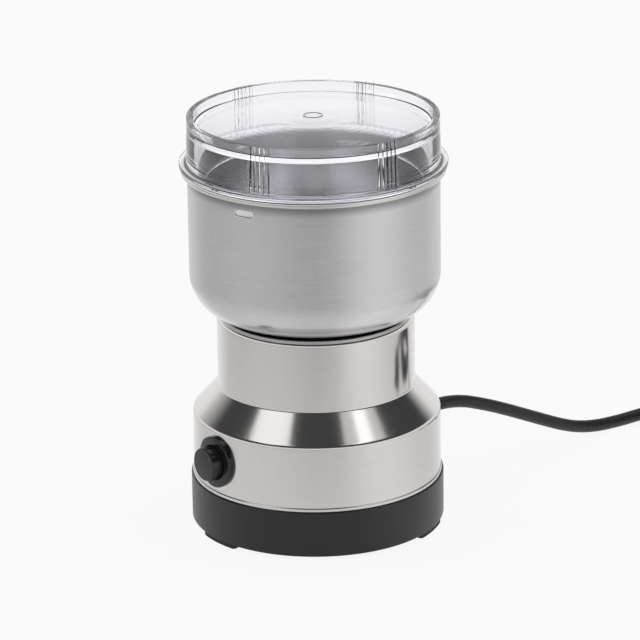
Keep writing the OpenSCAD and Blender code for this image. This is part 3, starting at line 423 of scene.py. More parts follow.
def even_angles(extra=()):
    """Angles of the columns: even steps and some extra ones, in order."""
    steps = [2 * math.pi * i / AROUND for i in range(AROUND)]
    full = 2 * math.pi
    return sorted({round(a % full, 6) for a in [*steps, *extra]})


def turned(name, outline, angles, moved=None):
    """A closed outline of radius and height, swept round the axis; moved() may change a point's radius."""
    shape = bmesh.new()
    columns = []
    outline = guarded(outline)
    axis_points = {i: shape.verts.new((0, 0, p.y * MM)) for i, p in enumerate(outline) if p.x < 1e-6}
    for angle in angles:
        column = []
        for i, point in enumerate(outline):
            radius = moved(point.x, point.y, angle) if moved else point.x
            column.append(axis_points.get(i) or shape.verts.new(around(radius, angle, point.y)))
        columns.append(column)
    for here, there in zip(columns, columns[1:] + columns[:1]):
        for i in range(len(outline)):
            k = (i + 1) % len(outline)
            corners = dict.fromkeys((here[i], there[i], there[k], here[k]))
            if len(corners) > 2:
                shape.faces.new(corners)
    bmesh.ops.recalc_face_normals(shape, faces=shape.faces)
    return as_piece(name, shape)


def as_piece(name, shape, sharp=SHARP_DEGREES):
    """A smooth object from a bmesh, with edges sharp above an angle."""
    mesh = bpy.data.meshes.new(name)
    shape.to_mesh(mesh)
    shape.free()
    mesh.shade_smooth()
    mesh.set_sharp_from_angle(angle=math.radians(sharp))
    return placed(name, mesh)


def finished_mesh(piece):
    """The mesh that an object shows, with its modifiers or its bevel."""
    return bpy.data.meshes.new_from_object(piece.evaluated_get(bpy.context.evaluated_depsgraph_get()))


def cut(piece, cutter):
    """Takes the cutter's shape out of a piece and removes the cutter."""
    tool = piece.modifiers.new("cut", "BOOLEAN")
    tool.operation = "DIFFERENCE"
    tool.solver = "EXACT"
    tool.object = cutter
    result = finished_mesh(piece)
    piece.modifiers.clear()
    piece.data = result
    bpy.data.objects.remove(cutter)


def skin(shape, rings):
    """Faces between neighbouring rings of points, and one at each end."""
    count = len(rings[0])
    for here, there in zip(rings, rings[1:]):
        for i in range(count):
            k = (i + 1) % count
            shape.faces.new((here[i], there[i], there[k], here[k]))
    shape.faces.new(rings[0])
    shape.faces.new(rings[-1])
    bmesh.ops.recalc_face_normals(shape, faces=shape.faces)


def bent_block(low, high, from_angle, to_angle, steps=16):
    """A block between two radii and two heights, bent round the axis."""
    shape = bmesh.new()
    corners = [(low[0], low[1]), (high[0], low[1]), (high[0], high[1]), (low[0], high[1])]
    rings = []
    for i in range(steps + 1):
        angle = from_angle + (to_angle - from_angle) * i / steps
        rings.append([shape.verts.new(around(r, angle, z)) for r, z in corners])
    skin(shape, rings)
    return as_piece("cutter", shape)


def smooth_step(value):
    """0 below 0, 1 above 1 and smooth between."""
    t = min(max(value, 0), 1)
    return t * t * (3 - 2 * t)


print("columns of a turned piece:", AROUND)

# %% [markdown]
# ## Cord
# The cord leaves the back of the shell through a rubber sleeve, sags to the table and runs out of the
# picture. The rest of it is wound into a flat coil with a strap, as it would be put away, and ends in its
# plug. One curve is the whole cord: the free stretches are lists of points, the coil is a spiral that
# goes in on the lower layer, climbs once and comes out again on the upper one.

# %% Route of the cord
CORD_D = 5.2
COIL_R = 34
COIL_PITCH = 5.8
COIL_TURNS = 2.125
CLIMB_TURNS = 0.5
COIL_STEPS = 24
TIE_ROOM = 1.3
cord_exit = (0, 58.6, 32.4)
coil_start = (2, 214)
coil_z = CORD_D / 2 + TIE_ROOM
lead_points = [cord_exit, (0, 65, cord_exit[2]), (0, 74, 30.9), (0, 81, 28.6), (0, 88, 25.9), (0, 96, 22.5),
               (0, 107, 17.5), (0, 119, 12), (0, 128, 8.1), (0, 136, 5.4), (0, 145, 3.6), (0, 155, 2.8),
               (0, 168, 2.7), (0.6, 182, 3.2), (1.4, 194, 3.8), (2, 202, coil_z),
               (2, coil_start[1] - CORD_D, coil_z)]


def coil_point(turns):
    """A place on the coil, counted in turns from its start."""
    inward = turns if turns < COIL_TURNS else 2 * COIL_TURNS - turns
    radius = COIL_R - COIL_PITCH * inward
    angle = math.pi - 2 * math.pi * turns
    height = coil_z + COIL_PITCH * smooth_step((turns - COIL_TURNS + CLIMB_TURNS / 2) / CLIMB_TURNS)
    aside = coil_start[0] + COIL_R + radius * math.cos(angle)
    return (aside, coil_start[1] + radius * math.sin(angle), height)


coil_points = [coil_point(step / COIL_STEPS) for step in range(int(2 * COIL_TURNS * COIL_STEPS) + 1)]
tail_start = (coil_start[0] + COIL_R + CORD_D, coil_start[1] + COIL_R)
coil_top = coil_z + COIL_PITCH
plug_z = 6.5
tail_steps = [(0, 0, coil_top), (5, 0, coil_top), (10, -0.2, 8.8), (15, -0.8, 7.2), (20, -2, 5.4),
              (25, -3.8, 3.9), (30, -6.4, 3), (35, -9.8, 2.7), (39.4, -14, 2.8), (43, -18.8, 3.3),
              (46, -24, 4.1), (48, -29.4, 5.1), (48.8, -34.6, 6), (49, -40, plug_z), (49, -45, plug_z)]
tail_points = [(tail_start[0] + x, tail_start[1] + y, z) for x, y, z in tail_steps]
route = [Vector(point) * MM for point in lead_points + coil_points + tail_points]
print("points on the cord:", len(route))

# %% Cord
line = bpy.data.curves.new("mains_cord", "CURVE")
line.dimensions = "3D"
line.bevel_depth = CORD_D / 2 * MM
line.bevel_resolution = 6
line.resolution_u = 4
line.use_fill_caps = True
spline = line.splines.new("BEZIER")
spline.bezier_points.add(len(route) - 1)
for point, place in zip(spline.bezier_points, route):
    point.co = place
    point.handle_left_type = "AUTO"
    point.handle_right_type = "AUTO"
mains_cord = placed("mains_cord", line)
dress(mains_cord, "housing", "cord_sheath", "cord_lead", "cord_coil", "cord_tail")
print("points on the curve:", len(spline.bezier_points))

# %% [markdown]
# ## Strap on the coil
# A woven strap holds the coil together. It goes once round the bundle and its end lies flat on the outer
# side, where it sticks to itself. A bent box would do from afar, but a strap has round edges and a free
# end, so a small rounded section is swept along a path that overlaps itself.

# %% Path of the strap
STRAP_T = 1.0
STRAP_ROOM = 0.3
STRAP_CORNER = 3.2
STRAP_TURN = 2 / 3
BUNDLE_SPARE = 0.5
LAP_OUT = STRAP_T * 1.05
LAP_START = 1.6
LAP_BEND = 0.8
LAP_FLAT = 1.8
LAP_END = 5.2
bundle_in = COIL_R - COIL_PITCH * (STRAP_TURN + 1) - CORD_D / 2 - BUNDLE_SPARE
bundle_out = COIL_R - COIL_PITCH * (2 * COIL_TURNS - STRAP_TURN - 3) + CORD_D / 2
r_in = bundle_in - STRAP_ROOM - STRAP_T / 2
r_out = bundle_out + STRAP_ROOM + STRAP_T / 2
z_low = STRAP_T / 2
z_high = STRAP_T * 1.5 + CORD_D + COIL_PITCH + 2 * STRAP_ROOM
lap = z_low + STRAP_CORNER
strap_corners = [(r_out, z_high), (r_in, z_high), (r_in, z_low), (r_out, z_low)]
strap_path = [Vector((r_out, lap + LAP_START)), *rounded(strap_corners, [STRAP_CORNER] * 4, 8),
              Vector((r_out + STRAP_T / 2, lap + LAP_BEND)), Vector((r_out + LAP_OUT, lap + LAP_FLAT)),
              Vector((r_out + LAP_OUT, lap + LAP_END))]
print("strap across the bundle in millimetres:", round(r_out - r_in, 1), round(z_high - z_low, 1))

# %% Strap
STRAP_W = 9
STRAP_EDGE = 0.3
STRAP_SHARP = 40
strap_angle = math.pi - 2 * math.pi * STRAP_TURN
coil_middle = Vector((coil_start[0] + COIL_R, coil_start[1]))
across_coil = Vector((math.cos(strap_angle), math.sin(strap_angle)))
along_coil = Vector((-across_coil.y, across_coil.x))
half_t = STRAP_T / 2
half_w = STRAP_W / 2
section = rounded([(-half_t, -half_w), (half_t, -half_w), (half_t, half_w), (-half_t, half_w)],
                  [STRAP_EDGE] * 4, 4)
strap_shape = bmesh.new()
strap_rings = []
for i, here in enumerate(strap_path):
    run = (strap_path[min(i + 1, len(strap_path) - 1)] - strap_path[max(i - 1, 0)]).normalized()
    outwards = Vector((run.y, -run.x))
    ring = []
    for thick, wide in section:
        radius, height = here + outwards * thick
        flat = coil_middle + across_coil * radius + along_coil * wide
        ring.append(strap_shape.verts.new((flat.x * MM, flat.y * MM, height * MM)))
    strap_rings.append(ring)
skin(strap_shape, strap_rings)
strap = as_piece("coil_strap", strap_shape, STRAP_SHARP)
dress(strap, "housing", "tie_strap", "cord_tie")
print("faces of the strap:", len(strap.data.polygons))

# %% [markdown]
# ## Bowl
# The bowl is drawn from one sheet: a flat floor with a hole for the bush, a wide round corner, a
# straight wall and a rim rolled outwards. Two short oblong dents hold the lid. On the real sheet a
# punch presses them, so here the points of both skins move inwards together.

# %% Bowl
bowl_low, bowl_high = box_mm("bowl")
bush_r = 7.02
BOWL_SHEET = 0.8
BOWL_CORNER = 16.5
CORNER_STEPS = 28
RIM_ROUND = 0.46
RIM_ROOT = 0.8
RIM_INNER = 1.2
LUG_DEPTH = 1.1
LUG_LONG = 9.5
LUG_TALL = 3.4
LUG_DROP = 7.4
LUG_EDGE = 0.7
LUG_RAMP = 3.8
LUG_LIP = 1.9
rim_r = bowl_high.x
bowl_r = rim_r - RIM_OUT
bowl_in = bowl_r - BOWL_SHEET
z_bowl = bowl_low.z
z_rim = bowl_high.z
z_lug = z_rim - LUG_DROP
lug_angles = [FRONT + math.radians(degrees) for degrees in (20.5, 200.5)]


def lug_share(z, angle):
    """How deep a point lies in a dent: 0 outside, 1 on its floor."""
    share = 0
    for place in lug_angles:
        turn = (angle - place + math.pi) % (2 * math.pi) - math.pi
        along = max(abs(turn) * bowl_r - (LUG_LONG - LUG_TALL) / 2, 0)
        away = math.hypot(along, z - z_lug) - LUG_TALL / 2
        ramp = min(max((z - z_lug + LUG_LIP) / LUG_RAMP, 0), 1)
        share = max(share, smooth_step(-away / LUG_EDGE) * ramp)
    return share


lug_rows = [z_lug + LUG_TALL * (i / 16 - 0.5) for i in range(17)]
z_floor = z_bowl + BOWL_SHEET
z_roll = z_rim - RIM_H
roll_r = RIM_H * RIM_ROUND
outside = rounded([(bush_r, z_bowl), (bowl_r, z_bowl), (bowl_r, z_lug - LUG_TALL)],
                  [0, BOWL_CORNER, 0], CORNER_STEPS)
outside += [Vector((bowl_r, z)) for z in lug_rows]
rim = rounded([(bowl_r, z_roll - 1), (bowl_r, z_roll), (rim_r, z_roll), (rim_r, z_rim), (bowl_in, z_rim),
               (bowl_in, z_lug + LUG_TALL)], [0, RIM_ROOT, roll_r, roll_r, RIM_INNER, 0], 8)
inside = [Vector((bowl_in, z)) for z in reversed(lug_rows)]
inside += rounded([(bowl_in, z_lug - LUG_TALL), (bowl_in, z_floor), (bush_r, z_floor)],
                  [0, BOWL_CORNER - BOWL_SHEET, 0], CORNER_STEPS)
lug_columns = [place + LUG_LONG / bowl_r * (i / 24 - 0.5) for place in lug_angles for i in range(25)]


def with_lugs(radius, z, angle):
    """A point of the wall, pressed in where a dent is."""
    return radius - LUG_DEPTH * lug_share(z, angle) if radius > bowl_in - 1 else radius


bowl = turned("steel_bowl", outside + rim + inside, even_angles(lug_columns), with_lugs)
dress(bowl, "housing", "bowl_steel", "bowl")
print("faces of the bowl:", len(bowl.data.polygons))

# %% [markdown]
# ## Lid
# The lid is moulded from clear plastic: a raised crest round a sunken plate, a flange that sits on the
# rim, and a spigot inside the bowl with slots for the two dents. Fine ribs for the fingers stand in four
# groups. Clear plastic shows every inner edge, so the whole lid is one closed skin with true thickness.

# %% Sizes of the lid
lid_low, lid_high = box_mm("lid_cover")
FLANGE_W = 2.8
FLANGE_H = 1.8
LID_DRAFT = 0.5
LID_WALL = 2.4
PLATE_T = 0.9
PLATE_DROP = 4
WEDGE_W = 2.4
WEDGE_H = 1.5
DOME_H = 3.3
BOSS_H = 0.15
SPIGOT_GAP = 0.4
SPIGOT_T = 2
CREST_EDGE = 0.3
MARK_R = 3.6
MARK_W = 0.4
MARK_H = 0.12
EDGE = 0.4
FLANGE_EDGE = 0.3
WEDGE_EDGE = 0.3
SPIGOT_EDGE = 3
PLATE_EDGE = 0.6
flange_r = lid_high.x
lid_r = flange_r - FLANGE_W
lid_top_r = lid_r - LID_DRAFT
spigot_r = bowl_in - SPIGOT_GAP
spigot_in = spigot_r - SPIGOT_T
z_lid = lid_high.z
z_spigot = lid_low.z
z_plate = z_lid - PLATE_DROP
wall_in = lid_top_r - LID_WALL
wedge_in = wall_in - WEDGE_W
print("crest of the lid in millimetres:", round(z_lid, 1), "radius:", round(lid_top_r, 1))

# %% Outline of the lid
BOSS_FROM = 5
BOSS_FADE = 11


def dome(radius):
    """Height of the plate's gentle dome above its edge."""
    return DOME_H * (1 - (radius / wall_in) ** 2)


def plate_top(radius):
    """A point on the plate's upper face: dome, flat boss and a small moulded ring in the middle."""
    boss = BOSS_H * (1 - smooth_step((radius - BOSS_FROM) / BOSS_FADE))
    ring = MARK_H * max(1 - abs(radius - MARK_R) / MARK_W, 0)
    return Vector((radius, z_plate + dome(radius) + boss + ring))


def plate_under(radius):
    """A point on the plate's lower face."""
    return Vector((radius, z_plate + dome(radius) - PLATE_T))


under_path = [plate_under(wedge_in * i / 16) for i in range(17)]
z_flange = z_rim + FLANGE_H
wall_corners = {
    (*plate_under(wedge_in),): 0,
    (wall_in, plate_under(wedge_in).y - WEDGE_H): WEDGE_EDGE,
    (spigot_in, z_rim): SPIGOT_EDGE,
    (spigot_in, z_spigot): EDGE,
    (spigot_r, z_spigot): EDGE,
    (spigot_r, z_rim): 0,
    (flange_r, z_rim): FLANGE_EDGE,
    (flange_r, z_flange): FLANGE_EDGE,
    (lid_r, z_flange): EDGE,
    (lid_top_r, z_lid): CREST_EDGE,
    (wall_in, z_lid): CREST_EDGE,
    (wall_in - EDGE, z_plate): PLATE_EDGE,
    (*plate_top(wedge_in),): 0,
}
wall_path = rounded(list(wall_corners), list(wall_corners.values()), 8)
ring_steps = [MARK_R + MARK_W, MARK_R + MARK_W / 2, MARK_R, MARK_R - MARK_W / 2, MARK_R - MARK_W, 2, 0]
top_steps = [wedge_in * i / 20 for i in range(20, 2, -1)] + ring_steps
lid_outline = under_path[:-1] + wall_path[:-1] + [plate_top(radius) for radius in top_steps]
print("points on the lid's outline:", len(lid_outline))

# %% Lid with ribs and slots
RIB_W = 1.5
RIB_OUT = 0.5
RIB_STEP = 2.2
SLOT_GAP = 0.2
CUT_PAST = 2
rib_groups = [28.5, 88.5, 208.5, 268.5]
rib_angles = [FRONT + math.radians(group + RIB_STEP * i) for group in rib_groups for i in (-2, -1, 0, 1, 2)]
rib_columns = [place + RIB_W / lid_r * (i / 6 - 0.5) for place in rib_angles for i in range(7)]


def with_ribs(radius, z, angle):
    """A rib is a half round on the wall's outside, from the flange up to the crest."""
    if z < z_flange or radius < lid_top_r - 1 or radius > lid_r + 0.01:
        return radius
    away = min(abs((angle - place + math.pi) % (2 * math.pi) - math.pi) for place in rib_angles) * lid_r
    return radius + RIB_OUT * math.sqrt(max(1 - (2 * away / RIB_W) ** 2, 0))


lid = turned("clear_lid", lid_outline, even_angles(rib_columns), with_ribs)
slot_half = LUG_TALL / 2 + SLOT_GAP
slot_turn = LUG_LONG / bowl_r / 2 + slot_half / bowl_r
lock_turn = math.radians(14)
slot_end = (spigot_r + 1, z_lug + slot_half)
for place in lug_angles:
    cut(lid, bent_block((spigot_in - CUT_PAST, z_spigot - 2 * CUT_PAST), slot_end,
                        place - slot_turn, place + slot_turn))
    cut(lid, bent_block((spigot_in - CUT_PAST, z_lug - slot_half), slot_end,
                        place, place + slot_turn + lock_turn))
lid.data.set_sharp_from_angle(angle=math.radians(SHARP_DEGREES))
dress(lid, "lid", "clear_plastic", "lid_cover")
print("faces of the lid:", len(lid.data.polygons))

# %% [markdown]
# ## Steel shell
# Neck, shoulder and skirt are one drawn sheet. Its lower edge is rolled into a hem that sits on the
# black base. The two round holes, for the button and for the cord, are cut as a drill would.

# %% Sizes of the shell
shell_low, shell_high = box_mm("steel_shell")
SHELL_SHEET = 0.8
HEM_OUT = 0.5
HEM_H = 1.5
HEM_EDGE = 0.3
HEM_ROUND = 0.42
SHELL_EDGE = 2.5
WAIST_R = 1.2
SKIRT_H = 26.5
SHOULDER_H = 10.9
NECK_R = 39.1
BEZEL_HOLE_R = 8.05
CORD_HOLE_R = 4.5
BUTTON_DROP = 1.1
cap_low, cap_high = box_mm("button_cap")
button_z = (cap_low.z + cap_high.z) / 2 - BUTTON_DROP
hem_r = shell_high.x
skirt_r = hem_r - HEM_OUT
skirt_in = skirt_r - SHELL_SHEET
z_skirt = shell_low.z
z_shoulder = z_skirt + SKIRT_H
z_neck = z_shoulder + SHOULDER_H
z_top = shell_high.z
print("skirt and neck in millimetres:", round(skirt_r, 1), NECK_R)

# %% Steel shell
DRILL_LONG = 0.06
DRILL_OUT = 0.05
z_hem = z_skirt + HEM_H
neck_in = NECK_R - SHELL_SHEET
slant = math.hypot(skirt_r - NECK_R, SHOULDER_H)
inner_shift = SHELL_SHEET * (slant - SHOULDER_H) / (skirt_r - NECK_R)
shell_path = [(skirt_r, z_hem), (skirt_r, z_shoulder), (NECK_R, z_neck), (NECK_R, z_top), (bush_r, z_top)]
inner_path = [(bush_r, z_top - SHELL_SHEET), (neck_in, z_top - SHELL_SHEET),
              (neck_in, z_neck - inner_shift), (skirt_in, z_shoulder - inner_shift), (skirt_in, z_skirt)]
hem_path = rounded([(skirt_in, z_skirt), (hem_r, z_skirt), (hem_r, z_hem), (skirt_r, z_hem)],
                   [0, HEM_EDGE, HEM_ROUND, 0], 6)
outer_arcs = rounded(shell_path, [0, SHELL_EDGE, WAIST_R, SHELL_EDGE, 0], 16)
inner_edge = SHELL_EDGE - SHELL_SHEET
inner_arcs = rounded(inner_path, [0, inner_edge, WAIST_R + SHELL_SHEET, inner_edge, 0], 8)
shell = turned("steel_body", hem_path[1:] + outer_arcs[1:] + inner_arcs, even_angles())


def drill(radius, towards, height):
    """A rod along the button's axis, from the middle of the part outwards."""
    shape = bmesh.new()
    bmesh.ops.create_cone(shape, cap_ends=True, segments=64, radius1=radius * MM, radius2=radius * MM,
                          depth=DRILL_LONG)
    place = Matrix.Translation((0, towards * DRILL_OUT, height * MM)) @ Matrix.Rotation(math.pi / 2, 4, "X")
    bmesh.ops.transform(shape, matrix=place, verts=shape.verts)
    return as_piece("cutter", shape)


cut(shell, drill(BEZEL_HOLE_R, -1, button_z))
cut(shell, drill(CORD_HOLE_R, 1, cord_exit[2]))
shell.data.set_sharp_from_angle(angle=math.radians(SHARP_DEGREES))
dress(shell, "housing", "shell_steel", "steel_shell")
print("faces of the shell:", len(shell.data.polygons))

# %% [markdown]
# ## Push button
# A round collar is screwed through the skirt and guides the cap. Both are glossy black mouldings. The
# collar is thin and follows the curve of the skirt, and the cap's face is a little domed with a soft edge,
# which catches a thin line of light. Both are turned about the button's own axis, so they are swept
# upright first and then laid down, and only then is the collar bent onto the skirt.

# %% Collar
collar_high = box_mm("button_bezel")[1]
COLLAR_T = 2
COLLAR_SINK = 0.2
COLLAR_BORE = 0.2
COLLAR_EDGE = 0.6
BORE_EDGE = 0.4
NECK_EDGE = 0.2
NECK_GAP = 0.15
CAP_R = 6.7
collar_r = collar_high.x
collar_out = skirt_r + COLLAR_T
collar_back = skirt_r - COLLAR_SINK
collar_bore = CAP_R + COLLAR_BORE
neck_r = BEZEL_HOLE_R - NECK_GAP
neck_back = -collar_high.y
lie_down = Matrix.Translation((0, 0, button_z * MM)) @ Matrix.Rotation(math.pi / 2, 4, "X")
collar_path = rounded(
    [(collar_bore, neck_back), (neck_r, neck_back), (neck_r, collar_back), (collar_r, collar_back),
     (collar_r, collar_out), (collar_bore, collar_out)],
    [NECK_EDGE, NECK_EDGE, 0, 0, COLLAR_EDGE, BORE_EDGE], 8)
collar = turned("button_collar", collar_path, even_angles())
collar.data.transform(lie_down)
for point in collar.data.vertices:
    if -point.co.y > (skirt_r - 1) * MM:
        point.co.y += skirt_r * MM - math.sqrt((skirt_r * MM) ** 2 - point.co.x ** 2)
dress(collar, "housing", "button_plastic", "button_bezel")
print("collar in millimetres:", round(collar_r, 1), round(collar_out, 1))

# %% Push cap
CAP_STAND = 4.6
CAP_DOME = 0.25
CAP_EDGE = 0.7
CAP_CHAMFER = 0.3
FACE_SHARE = 0.8
cap_back = -cap_high.y
cap_out = collar_out + CAP_STAND
cap_arc = [Vector((CAP_R * FACE_SHARE * i / 10, cap_out - CAP_DOME * (i / 10) ** 2)) for i in range(11)]
cap_path = [Vector((0, cap_back)), Vector((CAP_R - CAP_CHAMFER, cap_back)),
            Vector((CAP_R, cap_back + CAP_CHAMFER))]
cap_side = [(CAP_R, cap_back + 1), (CAP_R, cap_out - CAP_DOME), tuple(cap_arc[-1])]
cap_path += rounded(cap_side, [0, CAP_EDGE, 0], 8)[1:-1]
cap = turned("push_cap", cap_path + cap_arc[::-1], even_angles())
cap.data.transform(lie_down)
dress(cap, "button", "button_plastic", "button_cap")
print("cap in millimetres:", CAP_R, round(cap_out, 1))

# %% [markdown]
# ## Nut behind the skirt
# A nut on the collar's neck holds it in the skirt. It is turned as a round blank, and six flats are
# taken off it, which leaves its corners round.

# %% Nut
NUT_AF = 18
NUT_R = 9.7
NUT_EDGE = 0.3
NUT_GAP = 0.1
nut_low, nut_high = box_mm("bezel_nut")
nut_bore = neck_r + NUT_GAP
nut_front = -nut_low.y
nut_back = -nut_high.y


def with_flats(radius, height, angle):
    """A point of the blank, brought in where a flat is."""
    turn = angle % (math.pi / 3) - math.pi / 6
    return min(radius, NUT_AF / 2 / math.cos(turn))


nut_path = rounded([(nut_bore, nut_back), (NUT_R, nut_back), (NUT_R, nut_front), (nut_bore, nut_front)],
                   [NUT_EDGE] * 4, 4)
nut = turned("collar_nut", nut_path, even_angles(), with_flats)
nut.data.transform(lie_down)
dress(nut, "housing", "plated_steel", "bezel_nut")
print("nut across its flats in millimetres:", NUT_AF)

# %% [markdown]
# ## Return spring
# A spring behind the cap pushes it back. It is wound from round wire, with a closed turn at each end. It
# gets shorter as the cap goes in, but here it is wound at one fixed length.

# %% Return spring
WIRE_D = 0.6
SPRING_TURNS = 5.5
END_PITCH = 0.64
SPRING_STEPS = 24
spring_low, spring_high = box_mm("button_spring")
spring_r = (spring_high.z - spring_low.z - WIRE_D) / 2
spring_z = (spring_high.z + spring_low.z) / 2
spring_len = spring_high.y - spring_low.y - WIRE_D
free_pitch = (spring_len - 2 * END_PITCH) / (SPRING_TURNS - 2)


def spring_point(turns):
    """A place on the wire's middle, counted in turns from the front end."""
    reach = END_PITCH * min(turns, 1) + free_pitch * min(max(turns - 1, 0), SPRING_TURNS - 2)
    reach += END_PITCH * max(turns - SPRING_TURNS + 1, 0)
    angle = 2 * math.pi * turns
    along = spring_low.y + WIRE_D / 2 + reach
    return Vector((spring_r * math.cos(angle), along, spring_z + spring_r * math.sin(angle)))


wire = bpy.data.curves.new("spring_wire", "CURVE")
wire.dimensions = "3D"
wire.bevel_depth = WIRE_D / 2 * MM
wire.bevel_resolution = 3
wire.use_fill_caps = True
wire_line = wire.splines.new("POLY")
wire_points = [spring_point(i / SPRING_STEPS) * MM for i in range(int(SPRING_TURNS * SPRING_STEPS) + 1)]
wire_line.points.add(len(wire_points) - 1)
for point, place in zip(wire_line.points, wire_points):
    point.co = (*place, 1)
wire_holder = placed("spring_wire", wire)
spring = placed("return_spring", finished_mesh(wire_holder))
bpy.data.objects.remove(wire_holder)
spring.data.shade_smooth()
dress(spring, "housing", "plated_steel", "button_spring")
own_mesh(spring)
print("spring in millimetres:", round(spring_len, 2), "pitch:", round(free_pitch, 2))

# %% [markdown]
# ## Feet
# Three curved pads carry the base. They are flush with its wall, so their outline is a low profile with
# small chamfers that is bent round the axis, and the first and last sections are drawn in a little.

# %% Feet
base_low, base_high = box_mm("base_housing")
PAD_W = 7
PAD_HALF = math.radians(11.5)
PAD_EDGE = 0.2
PAD_INSET = 0.3
pad_angles = [FRONT + math.radians(degrees) for degrees in (0.5, 119.5, 240.5)]
pad_r = base_high.x - PAD_INSET
pad_shape = bmesh.new()
for centre in pad_angles:
    sections = []
    for i in range(17):
        angle = centre + PAD_HALF * (i / 8 - 1)
        inset = PAD_EDGE if i in (0, 16) else 0
        low, high = pad_r - PAD_W + inset, pad_r - inset
        corners = [(low, inset + PAD_EDGE), (low + PAD_EDGE, inset), (high - PAD_EDGE, inset),
                   (high, inset + PAD_EDGE), (high, base_low.z), (low, base_low.z)]
        sections.append([pad_shape.verts.new(around(r, angle, z)) for r, z in corners])
    skin(pad_shape, sections)
pads = as_piece("foot_pads", pad_shape)
dress(pads, "housing", "rubber", "rubber_feet")
print("pads:", len(pad_angles), "underside of the base:", round(base_low.z, 2))

# %% [markdown]
# ## Studio
# The background is a white table that runs out to a white wall. Steel shows what stands round it, so
# the room matters as much as the finish. The table in front of the grinder is shaded by the camera and
# bright where a lamp stands beside it, so its mirror image gets that shade as a function of the
# direction and of the distance. The room above is dark, with long soft lamps at both sides that make the
# light bands on the shoulder.

# %% Shade of the table
TABLE_GLOW = 0.9
TABLE_SIZE = 6
TABLE_COLOR = (0.86, 0.86, 0.86, 1)
SHADE_REACH = (0.1, 0.4)
SHADE_DEPTH = (0.25, 0.52)
shade_by_direction = {-150: 0, -132: 0.25, -114: 0.8, -90: 0.8, -60: 0.66, -35: 0.72, 0: 1, 18: 0.85,
                      42: 0.08, 58: 0, 72: 0.2, 88: 0.5, 108: 0.6, 124: 0.4, 140: 0.05, 160: 0}
floor_shape = bmesh.new()
bmesh.ops.create_grid(floor_shape, x_segments=1, y_segments=1, size=TABLE_SIZE)
floor = as_piece("floor", floor_shape)
floor_material = bpy.data.materials.new("white_table")
floor_material.use_nodes = True
tree = floor_material.node_tree
tree.nodes.remove(tree.nodes["Principled BSDF"])
turned_place = tree.nodes.new("ShaderNodeVectorRotate")
turned_place.rotation_type = "Z_AXIS"
turned_place.inputs["Angle"].default_value = -view_turn
tree.links.new(place_on(tree), turned_place.inputs["Vector"])
split = tree.nodes.new("ShaderNodeSeparateXYZ")
tree.links.new(turned_place.outputs[0], split.inputs[0])
towards_camera = math_node(tree, "MULTIPLY", split.outputs["Y"], -1)
direction = math_node(tree, "ARCTAN2", split.outputs["X"], towards_camera)
direction = math_node(tree, "DIVIDE", math_node(tree, "ADD", direction, math.pi), 2 * math.pi)
shade = tree.nodes.new("ShaderNodeValToRGB")
ramp = shade.color_ramp.elements
while len(ramp) < len(shade_by_direction):
    ramp.new(0.5)
for stop, (degrees, dark) in zip(ramp, shade_by_direction.items()):
    stop.position = degrees / 360 + 0.5
    stop.color = (dark, dark, dark, 1)
tree.links.new(direction, shade.inputs["Fac"])
distance = tree.nodes.new("ShaderNodeVectorMath")
distance.operation = "LENGTH"
tree.links.new(place_on(tree), distance.inputs[0])
falloff = map_range(tree, distance.outputs["Value"], *SHADE_REACH, *SHADE_DEPTH)
mirrored = math_node(tree, "SUBTRACT", 1, math_node(tree, "MULTIPLY", shade.outputs["Color"], falloff))
print("directions with a shade:", len(ramp))

# %% Floor
rays = tree.nodes.new("ShaderNodeLightPath")
lit = tree.nodes.new("ShaderNodeMix")
glossy = rays.outputs["Is Glossy Ray"]
passing = rays.outputs["Is Transmission Ray"]
tree.links.new(math_node(tree, "SUBTRACT", glossy, passing), lit.inputs[0])
lit.inputs[2].default_value = 1.0
tree.links.new(mirrored, lit.inputs[3])
matte = tree.nodes.new("ShaderNodeBsdfDiffuse")
matte.inputs["Color"].default_value = TABLE_COLOR
glow = tree.nodes.new("ShaderNodeEmission")
tree.links.new(lit.outputs[0], glow.inputs["Strength"])
seen = math_node(tree, "MAXIMUM", glossy, passing)
seen = math_node(tree, "MAXIMUM", rays.outputs["Is Camera Ray"], seen)
mixed = tree.nodes.new("ShaderNodeMixShader")
tree.links.new(math_node(tree, "MULTIPLY", seen, TABLE_GLOW), mixed.inputs["Fac"])
tree.links.new(matte.outputs[0], mixed.inputs[1])
tree.links.new(glow.outputs[0], mixed.inputs[2])
tree.links.new(mixed.outputs[0], tree.nodes["Material Output"].inputs["Surface"])
floor.data.materials.append(floor_material)
print("floor in metres:", tuple(round(x, 1) for x in floor.dimensions))

# %% World
WALL_EDGE = (0.2, 0.4)
CEILING_EDGE = (-0.02, 0.75)
CEILING_DARK = 0.06
CEILING_TILT = 1.2
CEILING_ASIDE = 0.2
THROUGH_EDGE = (-0.4, 0.0)
THROUGH_DARK = 0.7
FILL = 0.45
world = bpy.data.worlds.new("studio")
bpy.context.scene.world = world
world.use_nodes = True
tree = world.node_tree
tree.nodes.clear()
towards = tree.nodes.new("ShaderNodeTexCoord").outputs["Generated"]


def facing(direction):
    """How far a ray goes along a direction."""
    node = tree.nodes.new("ShaderNodeVectorMath")
    node.operation = "DOT_PRODUCT"
    node.inputs[1].default_value = direction
    tree.links.new(towards, node.inputs[0])
    return node.outputs["Value"]


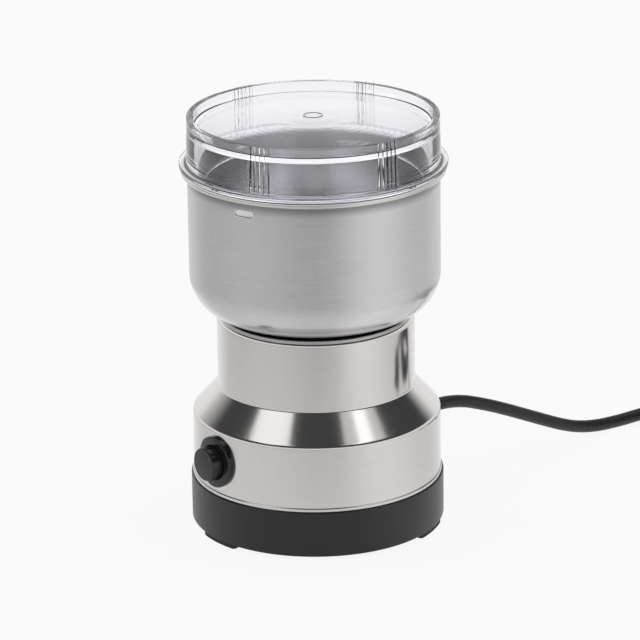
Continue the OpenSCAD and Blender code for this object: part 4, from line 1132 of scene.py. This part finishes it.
wall = map_range(tree, facing(straight_up), *WALL_EDGE, 1.0, 0.0)
behind = facing(image_away - straight_up * CEILING_TILT - image_right * CEILING_ASIDE)
ceiling = map_range(tree, behind, *CEILING_EDGE, CEILING_DARK, 1.0)
room_light = math_node(tree, "MAXIMUM", wall, ceiling)
through = map_range(tree, facing(image_away), *THROUGH_EDGE, THROUGH_DARK, 1.0)


def backdrop(strength):
    """A white background shader with a strength, which is a number or the output of a node."""
    shader = tree.nodes.new("ShaderNodeBackground")
    shader.inputs["Color"].default_value = (1, 1, 1, 1)
    if isinstance(strength, float):
        shader.inputs["Strength"].default_value = strength
    else:
        tree.links.new(strength, shader.inputs["Strength"])
    return shader.outputs[0]


def choose(factor, without, chosen):
    """One of two shaders, by a ray's kind."""
    node = tree.nodes.new("ShaderNodeMixShader")
    tree.links.new(factor, node.inputs["Fac"])
    tree.links.new(without, node.inputs[1])
    tree.links.new(chosen, node.inputs[2])
    return node.outputs[0]


rays = tree.nodes.new("ShaderNodeLightPath")
surroundings = choose(rays.outputs["Is Glossy Ray"], backdrop(FILL), backdrop(room_light))
surroundings = choose(rays.outputs["Is Transmission Ray"], surroundings, backdrop(through))
surroundings = choose(rays.outputs["Is Camera Ray"], surroundings, backdrop(1.0))
output = tree.nodes.new("ShaderNodeOutputWorld")
tree.links.new(surroundings, output.inputs["Surface"])
print("world:", world.name)

# %% Lamps
LAMP_AWAY = 0.1
LAMP_LONG = 1.6


def soft_lamp(name, aside, height, width, watts):
    """A long soft lamp over the table, facing down; aside is measured as the camera sees it."""
    lamp = bpy.data.lights.new(name, "AREA")
    lamp.shape = "RECTANGLE"
    lamp.size = width
    lamp.size_y = LAMP_LONG
    lamp.energy = watts
    holder = placed(name, lamp)
    place = image_right * aside + image_away * LAMP_AWAY + straight_up * height
    holder.matrix_world = Matrix.Translation(place) @ Matrix.Rotation(view_turn, 4, "Z")
    holder.visible_camera = False
    return holder


left_lamp = soft_lamp("left_lamp", -0.64, 1.05, 0.56, 3.4)
right_lamp = soft_lamp("right_lamp", 0.64, 1.05, 0.58, 2.0)
right_core = soft_lamp("right_core", 0.64, 1.04, 0.2, 0.85)
bpy.context.scene.view_settings.view_transform = "Standard"
print("lamps:", left_lamp.name, right_lamp.name, right_core.name)
